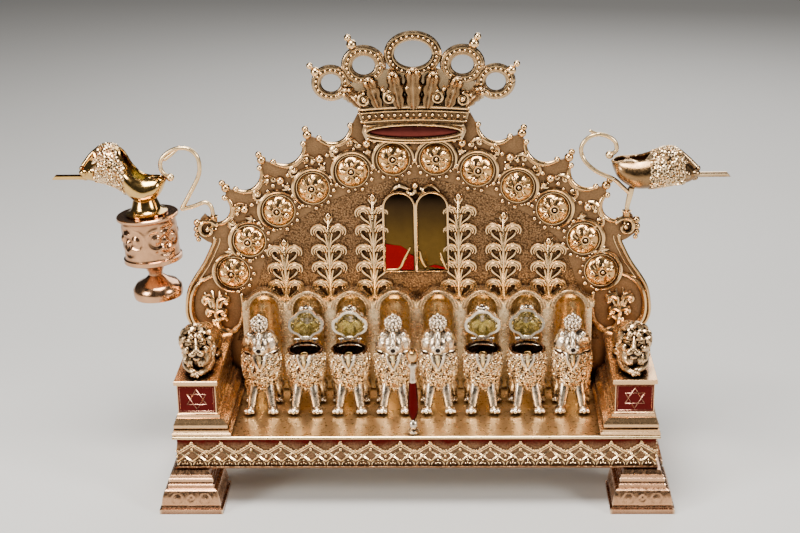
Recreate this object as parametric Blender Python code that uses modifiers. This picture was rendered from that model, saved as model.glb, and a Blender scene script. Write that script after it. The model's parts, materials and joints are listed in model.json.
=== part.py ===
"""Silver-gilt Hanukkah lamp of the bench type, in metres, +Z up.

The lamp stands on four stepped feet. A shallow box with a lace frieze carries the tray, on which eight
crowned lions hold the oil wells. Their heads are hinged lids. Behind them stand a row of niches and the
back plate with its crown, and two servants hang by pegs from sockets on the shoulders of the plate.

Drawing frame: x is 0 on the lamp's mid-plane, y is 0 at the tray's front edge and grows to the back, and
z is 0 on the table. A parent empty then moves the whole lamp so that the middle of its base is the origin.
"""
import math

import bpy
import bmesh
from mathutils import Matrix, Vector

GAP = 0.0003                    # clearance between two pieces that touch
SINK = 0.0005                   # how deep a raised ornament is rooted in its ground

# Feet, frieze box and tray
FOOT_HEIGHT = 0.0262
FOOT_WIDTH = 0.0398
FOOT_INSET = 0.0108             # middle of a foot, in from the tray's edges
FRIEZE_HEIGHT = 0.0197
FRIEZE_INSET = 0.0023           # frieze wall, in from the tray's edge
FRIEZE_WALL = 0.0020
LACE_HEIGHT = 0.0178            # peaks of the lace, above the frieze's lower edge
LACE_NOTCH = 0.0052             # depth of the valleys between the peaks
LACE_PITCH = 0.0181
LACE_RELIEF = 0.0006
FLANGE_HEIGHT = 0.0014
FLANGE_RELIEF = 0.0012
TRAY_WIDTH = 0.3000
TRAY_DEPTH = 0.0880
TRAY_THICKNESS = 0.0020

# Bench arms and the lions on them
ARM_WIDTH = 0.0235              # shaft
ARM_HEIGHT = 0.0361             # tray to the top of the slab
ARM_INSET = 0.0043              # outer face of the shaft, in from the tray's edge
ARM_FRONT = 0.0060              # front face of the shaft, behind the tray's front edge
ARM_SPREAD = 0.0090             # how far the arm's foot stands out towards the lions
SLAB_THICKNESS = 0.0028
SLAB_STEP = 0.0004              # height over which the slab widens
GUARDIAN_HEIGHT = 0.0320
GUARDIAN_LENGTH = 0.0540
GUARDIAN_SETBACK = 0.0050       # chest of the guardian, behind the front of the shaft

# Back plate and what stands before it
PLATE_FRONT = 0.0837
PLATE_THICKNESS = 0.0020
PLATE_OVERHANG = 0.0005         # widest part of the plate, past each end of the tray
PLATE_HEIGHT = 0.1840           # tray to the top edge hidden by the crown
PLATE_SHOULDER = 0.0040         # width of the slope from the last bay to the top edge
MEDALLION_RADIUS = 0.0121
MEDALLION_HEIGHT = 0.0042
PEARL_RADIUS = 0.0020
BITE_DEPTH = 0.0067             # depth of the bays in the plate's edge
BORDER_WIDTH = 0.0026
BORDER_HEIGHT = 0.0015
BORDER_START = 0.0012           # the roll starts this far inside the ends of its bay
FINIAL_RADIUS = 0.0025
NICHE_COUNT = 8
NICHE_PIER = 0.00833            # width of the wall between two niches
NICHE_DEPTH = 0.0092
NICHE_WALL = 0.0012
NICHE_HEIGHT = 0.0655           # tray to the top of the niche's arch
HOOD_BORDER = 0.0024
ARCADE_MARGIN = 0.0010          # wall beside the outermost hoods
ARCADE_GAP = 0.001845           # end of the arcade to the foot of the arm
TABLET_WIDTH = 0.0209
TABLET_HEIGHT = 0.0537
TABLET_DROP = 0.1059            # underside of the tablets, below the plate's top edge
TABLET_THICKNESS = 0.0026
CROWN_THICKNESS = 0.0030
CROWN_NECK = 0.0008             # half width of the pin inside each finial
CROWN_WIDTH = 0.1340            # between the tips of the outer finials
CROWN_HEIGHT = 0.0690
CROWN_LAP = 0.0183              # underside of the crown, below the plate's top edge
LEAF_WIDTH = 0.0046
BAND_WIDTH = 0.0020
CROWN_RELIEF = 0.0016           # leaves and bands stand out this far
LOOP_STEP = 0.0002              # each pair of loops lies this much deeper than the last
CUT_REACH = 0.0100              # cutters pass both faces by this much

# Oil lions and their hinged heads
LION_HEIGHT = 0.0404            # tray to the rim of the well, at the hinge
LION_GAP = 0.00283              # between the widest parts of two lions
LION_FRONT = 0.0360             # line of the front paws, behind the tray's front edge
RIM_TILT_DEG = 7.0              # the rim of each well leans forward
LID_GAP = 0.0003
HINGE_RADIUS = 0.0011
HINGE_LENGTH = 0.0080
OPEN_ANGLE_DEG = {2: 106.0, 3: 97.0, 6: 97.0, 7: 106.0}   # lids that stand open at rest

# Centre post
POST_HEIGHT = 0.0552
POST_RADIUS = 0.0038
POST_PLACE = 0.0060             # its axis, behind the tray's front edge
POST_OFFSET = -0.0010

# Servants and their sockets
SOCKET_RADIUS = 0.0027
SOCKET_BORE = 0.0018
SOCKET_DEPTH = 0.0040
WIRE_RADIUS = 0.0014
PEG_LENGTH = 0.0034             # part of the peg inside its socket
BOWL_WALL = 0.0012
SPOUT_RADIUS = 0.0024
SPOUT_BORE = 0.0015
DRUM_RADIUS = 0.0199            # top flange of the jug's drum
DRUM_HEIGHT = 0.0570            # underside of the foot to the top flange
JUG_TILT_DEG = 4.0              # the jug hangs a little out of plumb
SERVANT_REACH = 0.0602          # middle of the lamp servant's bowl to the tip of its spout

TRAY_TOP = FOOT_HEIGHT + GAP + FRIEZE_HEIGHT + GAP + TRAY_THICKNESS
ON_TRAY = TRAY_TOP + GAP
PLATE_WIDTH = TRAY_WIDTH + 2 * PLATE_OVERHANG
PLATE_BACK = PLATE_FRONT + PLATE_THICKNESS
PLATE_MIDDLE = PLATE_FRONT + PLATE_THICKNESS / 2
ARM_CENTRE = TRAY_WIDTH / 2 - ARM_INSET - ARM_WIDTH / 2
SLAB_TOP = TRAY_TOP + ARM_HEIGHT
ARCADE_HALF = ARM_CENTRE - ARM_WIDTH / 2 - ARM_SPREAD - ARCADE_GAP
# Eight niches and seven whole pitches fill the arcade: the two outer hoods reach its margins
NICHE_PITCH = (2 * (ARCADE_HALF - ARCADE_MARGIN - HOOD_BORDER) + NICHE_PIER) / NICHE_COUNT
NICHE_WIDTH = NICHE_PITCH - NICHE_PIER
TABLET_BASE = PLATE_HEIGHT - TABLET_DROP
CROWN_BASE = PLATE_HEIGHT - CROWN_LAP
HINGE_Z = ON_TRAY + LION_HEIGHT + LID_GAP + HINGE_RADIUS


# Collections and materials

def new_collection(name):
    collection = bpy.data.collections.new(name)
    bpy.context.scene.collection.children.link(collection)
    return collection


def metal(name, colour, roughness):
    material = bpy.data.materials.new(name)
    material.use_nodes = True
    shader = material.node_tree.nodes["Principled BSDF"]
    shader.inputs["Base Color"].default_value = (*colour, 1.0)
    shader.inputs["Metallic"].default_value = 1.0
    shader.inputs["Roughness"].default_value = roughness
    material.diffuse_color = (*colour, 1.0)
    return material


for leftover in list(bpy.data.objects):
    bpy.data.objects.remove(leftover)

PARTS = new_collection("hanukkah_lamp")
CUTTERS = new_collection("cutters")
ROSE_GILT = metal("rose_gilt", (0.60, 0.38, 0.22), 0.34)
PALE_GILT = metal("pale_gilt", (0.78, 0.60, 0.36), 0.22)
POLISHED_GILT = metal("polished_gilt", (0.80, 0.52, 0.18), 0.12)
AGED_SILVER = metal("aged_silver", (0.66, 0.60, 0.53), 0.30)
DARK_GILT = metal("dark_gilt", (0.42, 0.29, 0.14), 0.38)

LAMP = bpy.data.objects.new("lamp", None)
PARTS.objects.link(LAMP)


# Shape helpers

def place(name, mesh, material, location=(0, 0, 0), collection=None):
    """An object for one finished or working mesh."""
    thing = bpy.data.objects.new(name, mesh)
    (collection or PARTS).objects.link(thing)
    thing.location = location
    thing.parent = LAMP
    if material is not None and not mesh.materials:
        mesh.materials.append(material)
    if collection is CUTTERS:
        thing.hide_render = True
        thing.display_type = 'WIRE'
    return thing


def mesh_from(name, bm):
    """Close a bmesh into a mesh whose faces all point outwards."""
    bmesh.ops.recalc_face_normals(bm, faces=bm.faces)
    mesh = bpy.data.meshes.new(name)
    bm.to_mesh(mesh)
    bm.free()
    return mesh


def loft(bm, rings, closed_ends=True):
    """Skin a row of rings, each with the same number of points, and cap both ends."""
    rows = [[bm.verts.new(point) for point in ring] for ring in rings]
    for lower, upper in zip(rows, rows[1:]):
        count = len(lower)
        for i in range(count):
            j = (i + 1) % count
            bm.faces.new((lower[i], lower[j], upper[j], upper[i]))
    if closed_ends:
        bm.faces.new(rows[0])
        bm.faces.new(rows[-1])
    return rows


def ellipse(centre, half_x, half_y, count, turn=0.0):
    """Points of a level ellipse round a centre."""
    points = []
    for i in range(count):
        angle = turn + 2 * math.pi * i / count
        points.append(Vector((centre[0] + half_x * math.cos(angle),
                              centre[1] + half_y * math.sin(angle), centre[2])))
    return points


def upright_ellipse(x, centre_z, half_z, half_y, count):
    """Points of an ellipse that stands across the X axis."""
    points = []
    for i in range(count):
        angle = 2 * math.pi * (i + 0.5) / count
        points.append(Vector((x, half_y * math.cos(angle), centre_z + half_z * math.sin(angle))))
    return points


def smooth_path(points, steps):
    """Catmull-Rom points through a row of points, steps to each stretch."""
    padded = [points[0]] + list(points) + [points[-1]]
    result = []
    for i in range(1, len(padded) - 2):
        before, start, end, after = (Vector(padded[i + k]) for k in (-1, 0, 1, 2))
        for step in range(steps):
            t = step / steps
            result.append(0.5 * (2 * start + (end - before) * t
                                 + (2 * before - 5 * start + 4 * end - after) * t ** 2
                                 + (3 * start - before - 3 * end + after) * t ** 3))
    result.append(Vector(points[-1]))
    return result


def arc(start, end, depth, steps):
    """Points of an arc from start to end whose middle lies depth to the left of the chord."""
    start, end = Vector(start), Vector(end)
    chord = end - start
    side = Vector((-chord.y, chord.x)).normalized()
    half = chord.length / 2
    radius = (half ** 2 + depth ** 2) / (2 * depth)
    centre = (start + end) / 2 + side * (depth - radius)
    spread = math.asin(min(1.0, half / radius))
    if depth > radius:
        spread = math.pi - spread
    points = []
    for i in range(steps + 1):
        angle = spread * (2 * i / steps - 1)
        along = chord.normalized() * math.sin(angle) * radius
        points.append(centre + along + side * math.cos(angle) * radius)
    return points


def extruded_outline(name, outline, front, back):
    """A plate with an outline in X and Z between two depths."""
    bm = bmesh.new()
    loft(bm, [[Vector((p[0], y, p[1])) for p in outline] for y in (front, back)])
    return mesh_from(name, bm)


def turned(name, profile, material, location, steps, turn=0.0, collection=None):
    """A turned piece: profile points (radius, height) from the top to the bottom of its outer side."""
    mesh = bpy.data.meshes.new(name)
    edges = [(i, i + 1) for i in range(len(profile) - 1)]
    mesh.from_pydata([(r, 0.0, z) for r, z in profile], edges, [])
    piece = place(name, mesh, material, location, collection)
    piece.rotation_euler.z = turn
    screw = piece.modifiers.new("turning", 'SCREW')
    screw.steps = steps
    screw.render_steps = steps
    screw.use_merge_vertices = True
    screw.merge_threshold = 0.00001
    screw.use_smooth_shade = False
    return piece


def combine(target, other, operation, crossing=False):
    """Join another mesh to the target, or cut it away."""
    step = target.modifiers.new(operation.lower(), 'BOOLEAN')
    step.operation = operation
    step.solver = 'EXACT'
    step.object = other
    step.use_self = crossing


def worker(name, bm, location=(0, 0, 0)):
    """A hidden helper body for a join or a cut."""
    return place(name, mesh_from(name, bm), None, location, CUTTERS)


def finished_mesh(piece):
    """The piece's mesh with its modifiers done, as plain data."""
    bpy.context.view_layer.update()
    graph = bpy.context.evaluated_depsgraph_get()
    return bpy.data.meshes.new_from_object(piece.evaluated_get(graph))


# Raised ornament on an upright ground. Each bit is a closed body rooted SINK deep in the ground.

def raise_turned(bm, x, z, profile, ground, sides):
    """A round boss: profile points (radius, height) from its foot to its crown."""
    rings = []
    for radius, height in profile:
        ring = []
        for i in range(sides):
            angle = 2 * math.pi * i / sides
            ring.append(Vector((x + radius * math.cos(angle), ground - height,
                                z + radius * math.sin(angle))))
        rings.append(ring)
    loft(bm, rings)


def raise_stud(bm, x, z, radius, ground, sides=5):
    """A pearl, cut as a low pyramid."""
    base = [Vector((x + radius * math.cos(a), ground + SINK, z + radius * math.sin(a)))
            for a in (2 * math.pi * i / sides for i in range(sides))]
    foot = [bm.verts.new(point) for point in base]
    tip = bm.verts.new((x, ground - radius, z))
    bm.faces.new(foot)
    for i in range(sides):
        bm.faces.new((foot[i], foot[(i + 1) % sides], tip))


def raise_ridge(bm, path, width, height, ground, tail=0.5):
    """A bar with a sharp back along a path; its width and height fall off to the tail."""
    headings = [(Vector(end) - Vector(start)).normalized() for start, end in zip(path, path[1:])]
    rings = []
    for i, point in enumerate(path):
        along = (headings[max(i - 1, 0)] + headings[min(i, len(headings) - 1)]).normalized()
        side = Vector((-along.y, along.x))
        share = 1 + (tail - 1) * i / (len(path) - 1)
        left = Vector(point) + side * width / 2 * share
        right = Vector(point) - side * width / 2 * share
        rings.append([Vector((left.x, ground + SINK, left.y)),
                      Vector((right.x, ground + SINK, right.y)),
                      Vector((point[0], ground - height * share, point[1]))])
    loft(bm, rings)


BALL_FULLNESS = 1.12            # a ball's corners lie this far out, so that its faces keep its volume


def ball(bm, centre, radius):
    """A small cast ball of twenty faces."""
    bmesh.ops.create_icosphere(bm, subdivisions=1, radius=radius * BALL_FULLNESS,
                               matrix=Matrix.Translation(centre))


# Feet, frieze box and tray

# (share of the half width, share of the height), top to bottom of a foot's side
FOOT_PROFILE = [(0.0, 1.0), (0.56, 1.0), (0.62, 0.90), (0.69, 0.86), (0.69, 0.71), (0.73, 0.66),
                (0.84, 0.54), (0.935, 0.15), (1.0, 0.12), (1.0, 0.0), (0.0, 0.0)]


def build_feet():
    half = FOOT_WIDTH / 2 * math.sqrt(2)
    profile = [(share * half, level * FOOT_HEIGHT) for share, level in FOOT_PROFILE]
    rows = {"front": FOOT_INSET, "back": TRAY_DEPTH - FOOT_INSET}
    sides = {"left": -1, "right": 1}
    for row, y in rows.items():
        for side, sign in sides.items():
            spot = (sign * (TRAY_WIDTH / 2 - FOOT_INSET), y, 0)
            turned(f"foot_{row}_{side}", profile, ROSE_GILT, spot, 4, math.pi / 4)


def lace_outline(length, base):
    """Zigzag top over a straight foot, centred on 0."""
    count = max(2, round(length / LACE_PITCH))
    pitch = length / count
    points = [(-length / 2, base), (length / 2, base)]
    for i in range(count, -1, -1):
        x = -length / 2 + i * pitch
        points.append((x, base + LACE_HEIGHT - LACE_NOTCH))
        if i:
            points.append((x - pitch / 2, base + LACE_HEIGHT))
    return points


def build_frieze_box():
    width = TRAY_WIDTH - 2 * FRIEZE_INSET
    front, back = FRIEZE_INSET, TRAY_DEPTH - FRIEZE_INSET
    low, high = FOOT_HEIGHT + GAP, FOOT_HEIGHT + GAP + FRIEZE_HEIGHT
    middle = (front + back) / 2

    def frame(half_x, half_y, z):
        corners = ((-1, -1), (1, -1), (1, 1), (-1, 1))
        return [Vector((sx * half_x, middle + sy * half_y, z)) for sx, sy in corners]

    half_x, half_y = width / 2, (back - front) / 2
    inner_x, inner_y = half_x - FRIEZE_WALL, half_y - FRIEZE_WALL
    out_x, out_y = half_x + FLANGE_RELIEF, half_y + FLANGE_RELIEF
    bm = bmesh.new()
    rows = loft(bm, [frame(inner_x, inner_y, low), frame(out_x, out_y, low),
                     frame(out_x, out_y, low + FLANGE_HEIGHT), frame(half_x, half_y, low + FLANGE_HEIGHT),
                     frame(half_x, half_y, high), frame(inner_x, inner_y, high)], closed_ends=False)
    for i in range(4):
        j = (i + 1) % 4
        bm.faces.new((rows[-1][i], rows[-1][j], rows[0][j], rows[0][i]))
    box = place("frieze_box", mesh_from("frieze_box", bm), ROSE_GILT)

    base = low + FLANGE_HEIGHT / 2
    front_lace = extruded_outline("front_lace", lace_outline(width, base),
                                  front - LACE_RELIEF, front + SINK)
    combine(box, place("front_lace", front_lace, None, collection=CUTTERS), 'UNION')
    for side in (-1, 1):
        lace = extruded_outline("side_lace", lace_outline(back - front, base), -LACE_RELIEF, SINK)
        strip = place("side_lace", lace, None, (side * half_x, middle, 0), CUTTERS)
        strip.rotation_euler.z = side * math.pi / 2
        combine(box, strip, 'UNION')


def build_tray():
    bm = bmesh.new()
    bmesh.ops.create_cube(bm, size=1.0)
    bmesh.ops.scale(bm, verts=bm.verts, vec=(TRAY_WIDTH, TRAY_DEPTH, TRAY_THICKNESS))
    bmesh.ops.translate(bm, verts=bm.verts, vec=(0, TRAY_DEPTH / 2, TRAY_TOP - TRAY_THICKNESS / 2))
    tray = place("tray", mesh_from("tray", bm), PALE_GILT)
    edge = tray.modifiers.new("rounded_edge", 'BEVEL')
    edge.width = TRAY_THICKNESS * 0.3
    edge.segments = 1


# Bench arms: height share, then inner, outer and front outsets in shares of the foot's spread
ARM_PROFILE = [(0.00, 1.0, 0.456, 0.600), (0.055, 1.0, 0.456, 0.600), (0.06, 0.844, 0.367, 0.511),
               (0.11, 0.844, 0.367, 0.511), (0.115, 0.667, 0.267, 0.356), (0.21, 0.733, 0.333, 0.422),
               (0.30, 0.489, 0.178, 0.244), (0.31, 0.222, 0.089, 0.133), (0.36, 0.222, 0.089, 0.133),
               (0.365, 0.0, 0.0, 0.0)]
SLAB_OUTSET = (0.211, 0.167, 0.333)


def build_arms():
    slab_low = ARM_HEIGHT - SLAB_THICKNESS
    back = PLATE_FRONT - GAP
    sections = [(share * ARM_HEIGHT + GAP, inner, outer, front)
                for share, inner, outer, front in ARM_PROFILE]
    sections += [(slab_low, 0.0, 0.0, 0.0), (slab_low + SLAB_STEP, *SLAB_OUTSET), (ARM_HEIGHT, *SLAB_OUTSET)]
    for side, sign in (("left", -1), ("right", 1)):
        bm = bmesh.new()
        rings = []
        for height, inner, outer, front in sections:
            near = sign * (ARM_CENTRE - ARM_WIDTH / 2 - inner * ARM_SPREAD)
            far = sign * (ARM_CENTRE + ARM_WIDTH / 2 + outer * ARM_SPREAD)
            y = ARM_FRONT - front * ARM_SPREAD
            z = TRAY_TOP + height
            rings.append([Vector((near, y, z)), Vector((far, y, z)), Vector((far, back, z)),
                          Vector((near, back, z))])
        loft(bm, rings)
        place(f"side_arm_{side}", mesh_from("side_arm", bm), ROSE_GILT)


# Guardian lion, drawn 32 mm tall and 54 mm long: x across, y back from the chest, z above the slab
GUARDIAN_BODY = [(1.5, 8.5, 5.4, 6.0), (7.0, 11.0, 10.6, 9.4), (24.0, 9.6, 9.6, 9.2),
                 (42.0, 9.6, 9.6, 10.2), (48.0, 7.0, 5.0, 5.4)]
GUARDIAN_DRAWN_HEIGHT = 32.0
GUARDIAN_DRAWN_LENGTH = 54.0
GUARDIAN_FORELEG = [(14.0, 6.0, 4.0, 3.6), (4.0, 4.6, 3.0, 2.8), (-3.5, 1.6, 2.6, 2.6), (-6.0, 0.6, 2.0, 1.9)]
GUARDIAN_MUZZLE = [(-1.0, 20.5, 5.4, 5.6), (-6.2, 18.4, 3.0, 3.2)]
GUARDIAN_SOLE = 0.05            # the legs' lower faces lie this far inside the body's
CROSSED_PAW = 1.5               # the right forepaw lies this much higher, over the left one


def build_guardians():
    across = GUARDIAN_HEIGHT / GUARDIAN_DRAWN_HEIGHT
    along = GUARDIAN_LENGTH / GUARDIAN_DRAWN_LENGTH
    body = bmesh.new()
    rings = []
    for y, centre, half_z, half_x in GUARDIAN_BODY:
        ring = []
        for i in range(8):
            angle = 2 * math.pi * (i + 0.5) / 8
            ring.append(Vector((half_x * math.cos(angle), y, max(0.0, centre + half_z * math.sin(angle)))))
        rings.append(ring)
    loft(body, rings)

    limbs = bmesh.new()
    for sign in (-1, 1):
        foreleg = [(y, sign * x, z + CROSSED_PAW * (sign > 0 and y < 0), r) for y, x, z, r in GUARDIAN_FORELEG]
        loft(limbs, [[Vector((x + r * c, y, max(GUARDIAN_SOLE, z + r * s))) for c, s in
                      ((1, -1), (0.8, 0.8), (-0.8, 0.8), (-1, -1))]
                     for y, x, z, r in foreleg])
        haunch = Matrix.Translation((sign * 7.6, 43.0, 6.6)) @ Matrix.Diagonal((4.0, 8.5, 6.4, 1.0))
        bmesh.ops.create_icosphere(limbs, subdivisions=1, radius=1.0, matrix=haunch)
    mane = Matrix.Translation((0, 6.0, 21.6)) @ Matrix.Diagonal((9.9, 8.6, 10.4, 1.0))
    bmesh.ops.create_icosphere(limbs, subdivisions=2, radius=1.0, matrix=mane)
    for vertex in limbs.verts:
        curl = math.sin(vertex.co.x * 1.9) * math.cos(vertex.co.z * 1.7)
        if vertex.co.z > 12.0:
            vertex.co.y += 0.5 * curl
    loft(limbs, [[Vector((half_x * c, y, z + half_z * s)) for c, s in
                  ((1, 0.2), (0, 1), (-1, 0.2), (-0.7, -1), (0.7, -1))]
                 for y, z, half_z, half_x in GUARDIAN_MUZZLE])

    size = Matrix.Diagonal((across, along, across, 1.0))
    for bm in (body, limbs):
        bmesh.ops.transform(bm, matrix=size, verts=bm.verts)
    master = place("guardian", mesh_from("guardian", body), AGED_SILVER)
    combine(master, worker("guardian_limbs", limbs), 'UNION', crossing=True)
    mesh = finished_mesh(master)
    bpy.data.objects.remove(master)
    mesh.transform(Matrix.Translation((0, 0, SLAB_TOP + GAP)))
    for side, sign in (("left", -1), ("right", 1)):
        place(f"guardian_lion_{side}", mesh, AGED_SILVER, (sign * ARM_CENTRE, ARM_FRONT + GUARDIAN_SETBACK, 0))


# Back plate, drawn 301 mm wide and 184 mm above the tray, right half: x, height above the tray
PLATE_DRAWN_WIDTH = 301.0
PLATE_DRAWN_HEIGHT = 184.0
PLATE_UNIT = PLATE_HEIGHT / PLATE_DRAWN_HEIGHT      # metres for each drawn millimetre
PLATE_FLANK = [(145.0, 36.8), (149.5, 45.0), (150.2, 53.8), (147.2, 67.5), (137.0, 83.6), (130.5, 97.0)]
PLATE_VOLUTE = [(134.0, 98.6), (138.6, 102.0), (139.0, 109.0), (137.5, 114.0), (134.6, 117.2)]
BITES = [((128.5, 110.6), (120.6, 128.2)), ((114.0, 132.8), (97.3, 147.5)),
         ((89.6, 150.7), (69.1, 162.9)), ((60.2, 166.0), (39.2, 174.5))]
FINIAL_TIPS = [(122.6, 137.3), (98.4, 155.9), (68.4, 172.2)]
FINIAL_FEET = [(120.4, 134.0), (96.7, 152.4), (67.2, 168.6)]
PENDANTS = [(139.9, 111.0, 2.3), (140.3, 106.8, 2.1), (140.3, 103.0, 1.9), (139.6, 99.7, 1.6)]
MEDALLIONS = [(13.5, 152.7), (39.5, 145.0), (64.7, 134.0), (87.1, 119.2), (106.7, 99.0), (118.2, 77.5)]
MEDALLION_PROFILE = [(1.0, None), (0.93, 0.42), (0.79, 0.14), (0.36, 1.0)]
PALM_PLACES = [(30.2, 126.0), (56.5, 114.0), (84.5, 94.0)]
PALM_FOOT = 73.0
FROND_STEP = 12.6
FROND_REACH = 7.0
SCROLL_C = [(113.7, 60.5), (114.6, 48.0), (117.8, 39.6), (123.3, 38.0), (127.6, 43.0)]
SCROLL_U = [(127.6, 43.0), (138.6, 43.7), (145.6, 50.0), (144.4, 63.1), (138.9, 71.7)]
PALMETTE = [((129.6, 49.4), (123.4, 59.0)), ((132.6, 49.4), (139.2, 59.0)), ((131.0, 53.0), (131.0, 65.0))]


def on_plate(point):
    """A drawn point of the plate as x and z in metres."""
    return Vector((point[0] * PLATE_WIDTH / PLATE_DRAWN_WIDTH, TRAY_TOP + point[1] * PLATE_UNIT))


def mirrored(points, sign):
    return [Vector((sign * p[0], p[1])) for p in points]


def plate_outline():
    base = ON_TRAY
    flank = [on_plate(p) for p in smooth_path(PLATE_FLANK, 2)]
    half = [Vector((flank[0].x, base))] + flank + [on_plate(p) for p in PLATE_VOLUTE]
    horns = FINIAL_FEET + [None]
    for (lower, upper), horn in zip(BITES, horns):
        half += arc(on_plate(lower), on_plate(upper), BITE_DEPTH, 4)
        if horn:
            half.append(on_plate(horn))
    half.append(Vector((on_plate(BITES[-1][1]).x - PLATE_SHOULDER, TRAY_TOP + PLATE_HEIGHT)))
    left = [Vector((-p.x, p.y)) for p in reversed(half)]
    return half + left


def raise_border(bm, sign, ground):
    """The rolled border of the bays, with a small boss where each roll ends."""
    for lower, upper in BITES:
        start, end = on_plate(lower), on_plate(upper)
        along = (end - start).normalized()
        inward = Vector((-along.y, along.x)) * BORDER_WIDTH * 0.7
        inset = along * BORDER_START
        path = [p + inward for p in arc(start + inset, end - inset, BITE_DEPTH, 3)]
        raise_ridge(bm, mirrored(path, sign), BORDER_WIDTH, BORDER_HEIGHT, ground, tail=1.0)
    flank = [on_plate(p) + Vector((-BORDER_WIDTH, 0)) for p in smooth_path(PLATE_FLANK[1:], 1)]
    raise_ridge(bm, mirrored(flank, sign), BORDER_WIDTH, BORDER_HEIGHT, ground, tail=0.8)


def raise_studs(bm, sign, ground):
    """A large stud under each bay."""
    for lower, upper in BITES[1:]:
        middle = (on_plate(lower) + on_plate(upper)) / 2
        along = (on_plate(upper) - on_plate(lower)).normalized()
        inward = Vector((-along.y, along.x))
        spot = middle + inward * (BITE_DEPTH + 3.4 * PEARL_RADIUS)
        raise_stud(bm, sign * spot.x, spot.y, PEARL_RADIUS * 1.5, ground)


def raise_medallions(bm, sign, ground):
    """Domed medallions in an arch, with pearls along the arch's inner side."""
    focus = on_plate((0.0, 70.0))
    for drawn in MEDALLIONS:
        spot = on_plate(drawn)
        profile = [(share * MEDALLION_RADIUS, -SINK if level is None else level * MEDALLION_HEIGHT)
                   for share, level in MEDALLION_PROFILE]
        raise_turned(bm, sign * spot.x, spot.y, profile, ground, 8)
        inward = (focus - spot).normalized()
        for turn in (-0.25, 0.25):
            way = Matrix.Rotation(turn, 2) @ inward
            pearl = spot + way * (MEDALLION_RADIUS + PEARL_RADIUS * 1.25)
            raise_stud(bm, sign * pearl.x, pearl.y, PEARL_RADIUS, ground, 5)


def raise_palms(bm, sign, ground):
    """Palm trees: a stem with pairs of curled fronds that droop at their ends."""
    for x, top in PALM_PLACES:
        levels = int((top - PALM_FOOT) / FROND_STEP)
        stem = [on_plate((x, PALM_FOOT - 4.0)), on_plate((x, top))]
        raise_ridge(bm, mirrored(stem, sign), BORDER_WIDTH * 0.9, BORDER_HEIGHT, ground, tail=0.7)
        for level in range(levels):
            low = top - FROND_STEP * (level + 1) + 5.0
            for side in (-1, 1):
                frond = [(x + side * 2.6, low - 3.5), (x + side * FROND_REACH * 0.6, low + 4.4),
                         (x + side * FROND_REACH, low + 0.6)]
                path = [on_plate(p) for p in frond]
                raise_ridge(bm, mirrored(path, sign), BORDER_WIDTH * 0.8, BORDER_HEIGHT * 1.2, ground, 0.9)


def raise_side_panel(bm, sign, ground):
    """Scrolls and a palmette on the lower shoulder of the plate."""
    for drawn in (SCROLL_C, SCROLL_U):
        path = [on_plate(p) for p in smooth_path(drawn, 1)]
        raise_ridge(bm, mirrored(path, sign), BORDER_WIDTH, BORDER_HEIGHT, ground, tail=0.9)
    for start, end in PALMETTE:
        path = [on_plate(start), on_plate(end)]
        raise_ridge(bm, mirrored(path, sign), BORDER_WIDTH * 1.3, BORDER_HEIGHT * 1.3, ground, tail=1.6)


def build_back_plate():
    outline = plate_outline()
    plate = place("back_plate", extruded_outline("back_plate", outline, PLATE_FRONT, PLATE_BACK), ROSE_GILT)
    relief = bmesh.new()
    edge = bmesh.new()
    for sign in (-1, 1):
        raise_border(relief, sign, PLATE_FRONT)
        raise_studs(relief, sign, PLATE_FRONT)
        raise_medallions(relief, sign, PLATE_FRONT)
        raise_palms(relief, sign, PLATE_FRONT)
        raise_side_panel(relief, sign, PLATE_FRONT)
        for foot, tip in zip(FINIAL_FEET, FINIAL_TIPS):
            for drawn, share in ((foot, 1.15), (tip, 0.80)):
                spot = on_plate(drawn)
                ball(edge, (sign * spot.x, PLATE_MIDDLE, spot.y), FINIAL_RADIUS * share)
        for x, height, radius in PENDANTS:
            spot = on_plate((x, height))
            ball(edge, (sign * spot.x, PLATE_MIDDLE, spot.y), radius * PLATE_UNIT)
        raise_socket(edge, sign)
    # the warped faces of the ridges are cut into flat triangles before they are joined
    bmesh.ops.triangulate(relief, faces=relief.faces)
    combine(plate, worker("plate_edge", edge), 'UNION', crossing=True)
    combine(plate, worker("plate_relief", relief), 'UNION', crossing=True)
    for sign in (-1, 1):
        bore = bmesh.new()
        bmesh.ops.create_cone(bore, cap_ends=True, segments=8, radius1=SOCKET_BORE, radius2=SOCKET_BORE,
                              depth=SOCKET_DEPTH * 2)
        combine(plate, worker("socket_bore", bore, socket_top(sign)), 'DIFFERENCE')


# Sockets on the shoulders: x and height above the tray of their mouths
SOCKET_PLACE = {-1: (129.3, 115.6), 1: (133.6, 117.2)}


def socket_top(sign):
    spot = on_plate(SOCKET_PLACE[sign])
    return sign * spot.x, PLATE_MIDDLE, spot.y


def raise_socket(bm, sign):
    x, y, z = socket_top(sign)
    lower = z - SOCKET_DEPTH * 1.5
    rings = [ellipse((x, y, lower), SOCKET_RADIUS, SOCKET_RADIUS, 8),
             ellipse((x, y, z - SOCKET_DEPTH * 0.25), SOCKET_RADIUS, SOCKET_RADIUS, 8),
             ellipse((x, y, z), SOCKET_RADIUS * 1.2, SOCKET_RADIUS * 1.2, 8)]
    loft(bm, rings)


# Niches

def niche_centres():
    return [(i - (NICHE_COUNT - 1) / 2) * NICHE_PITCH for i in range(NICHE_COUNT)]


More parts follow.
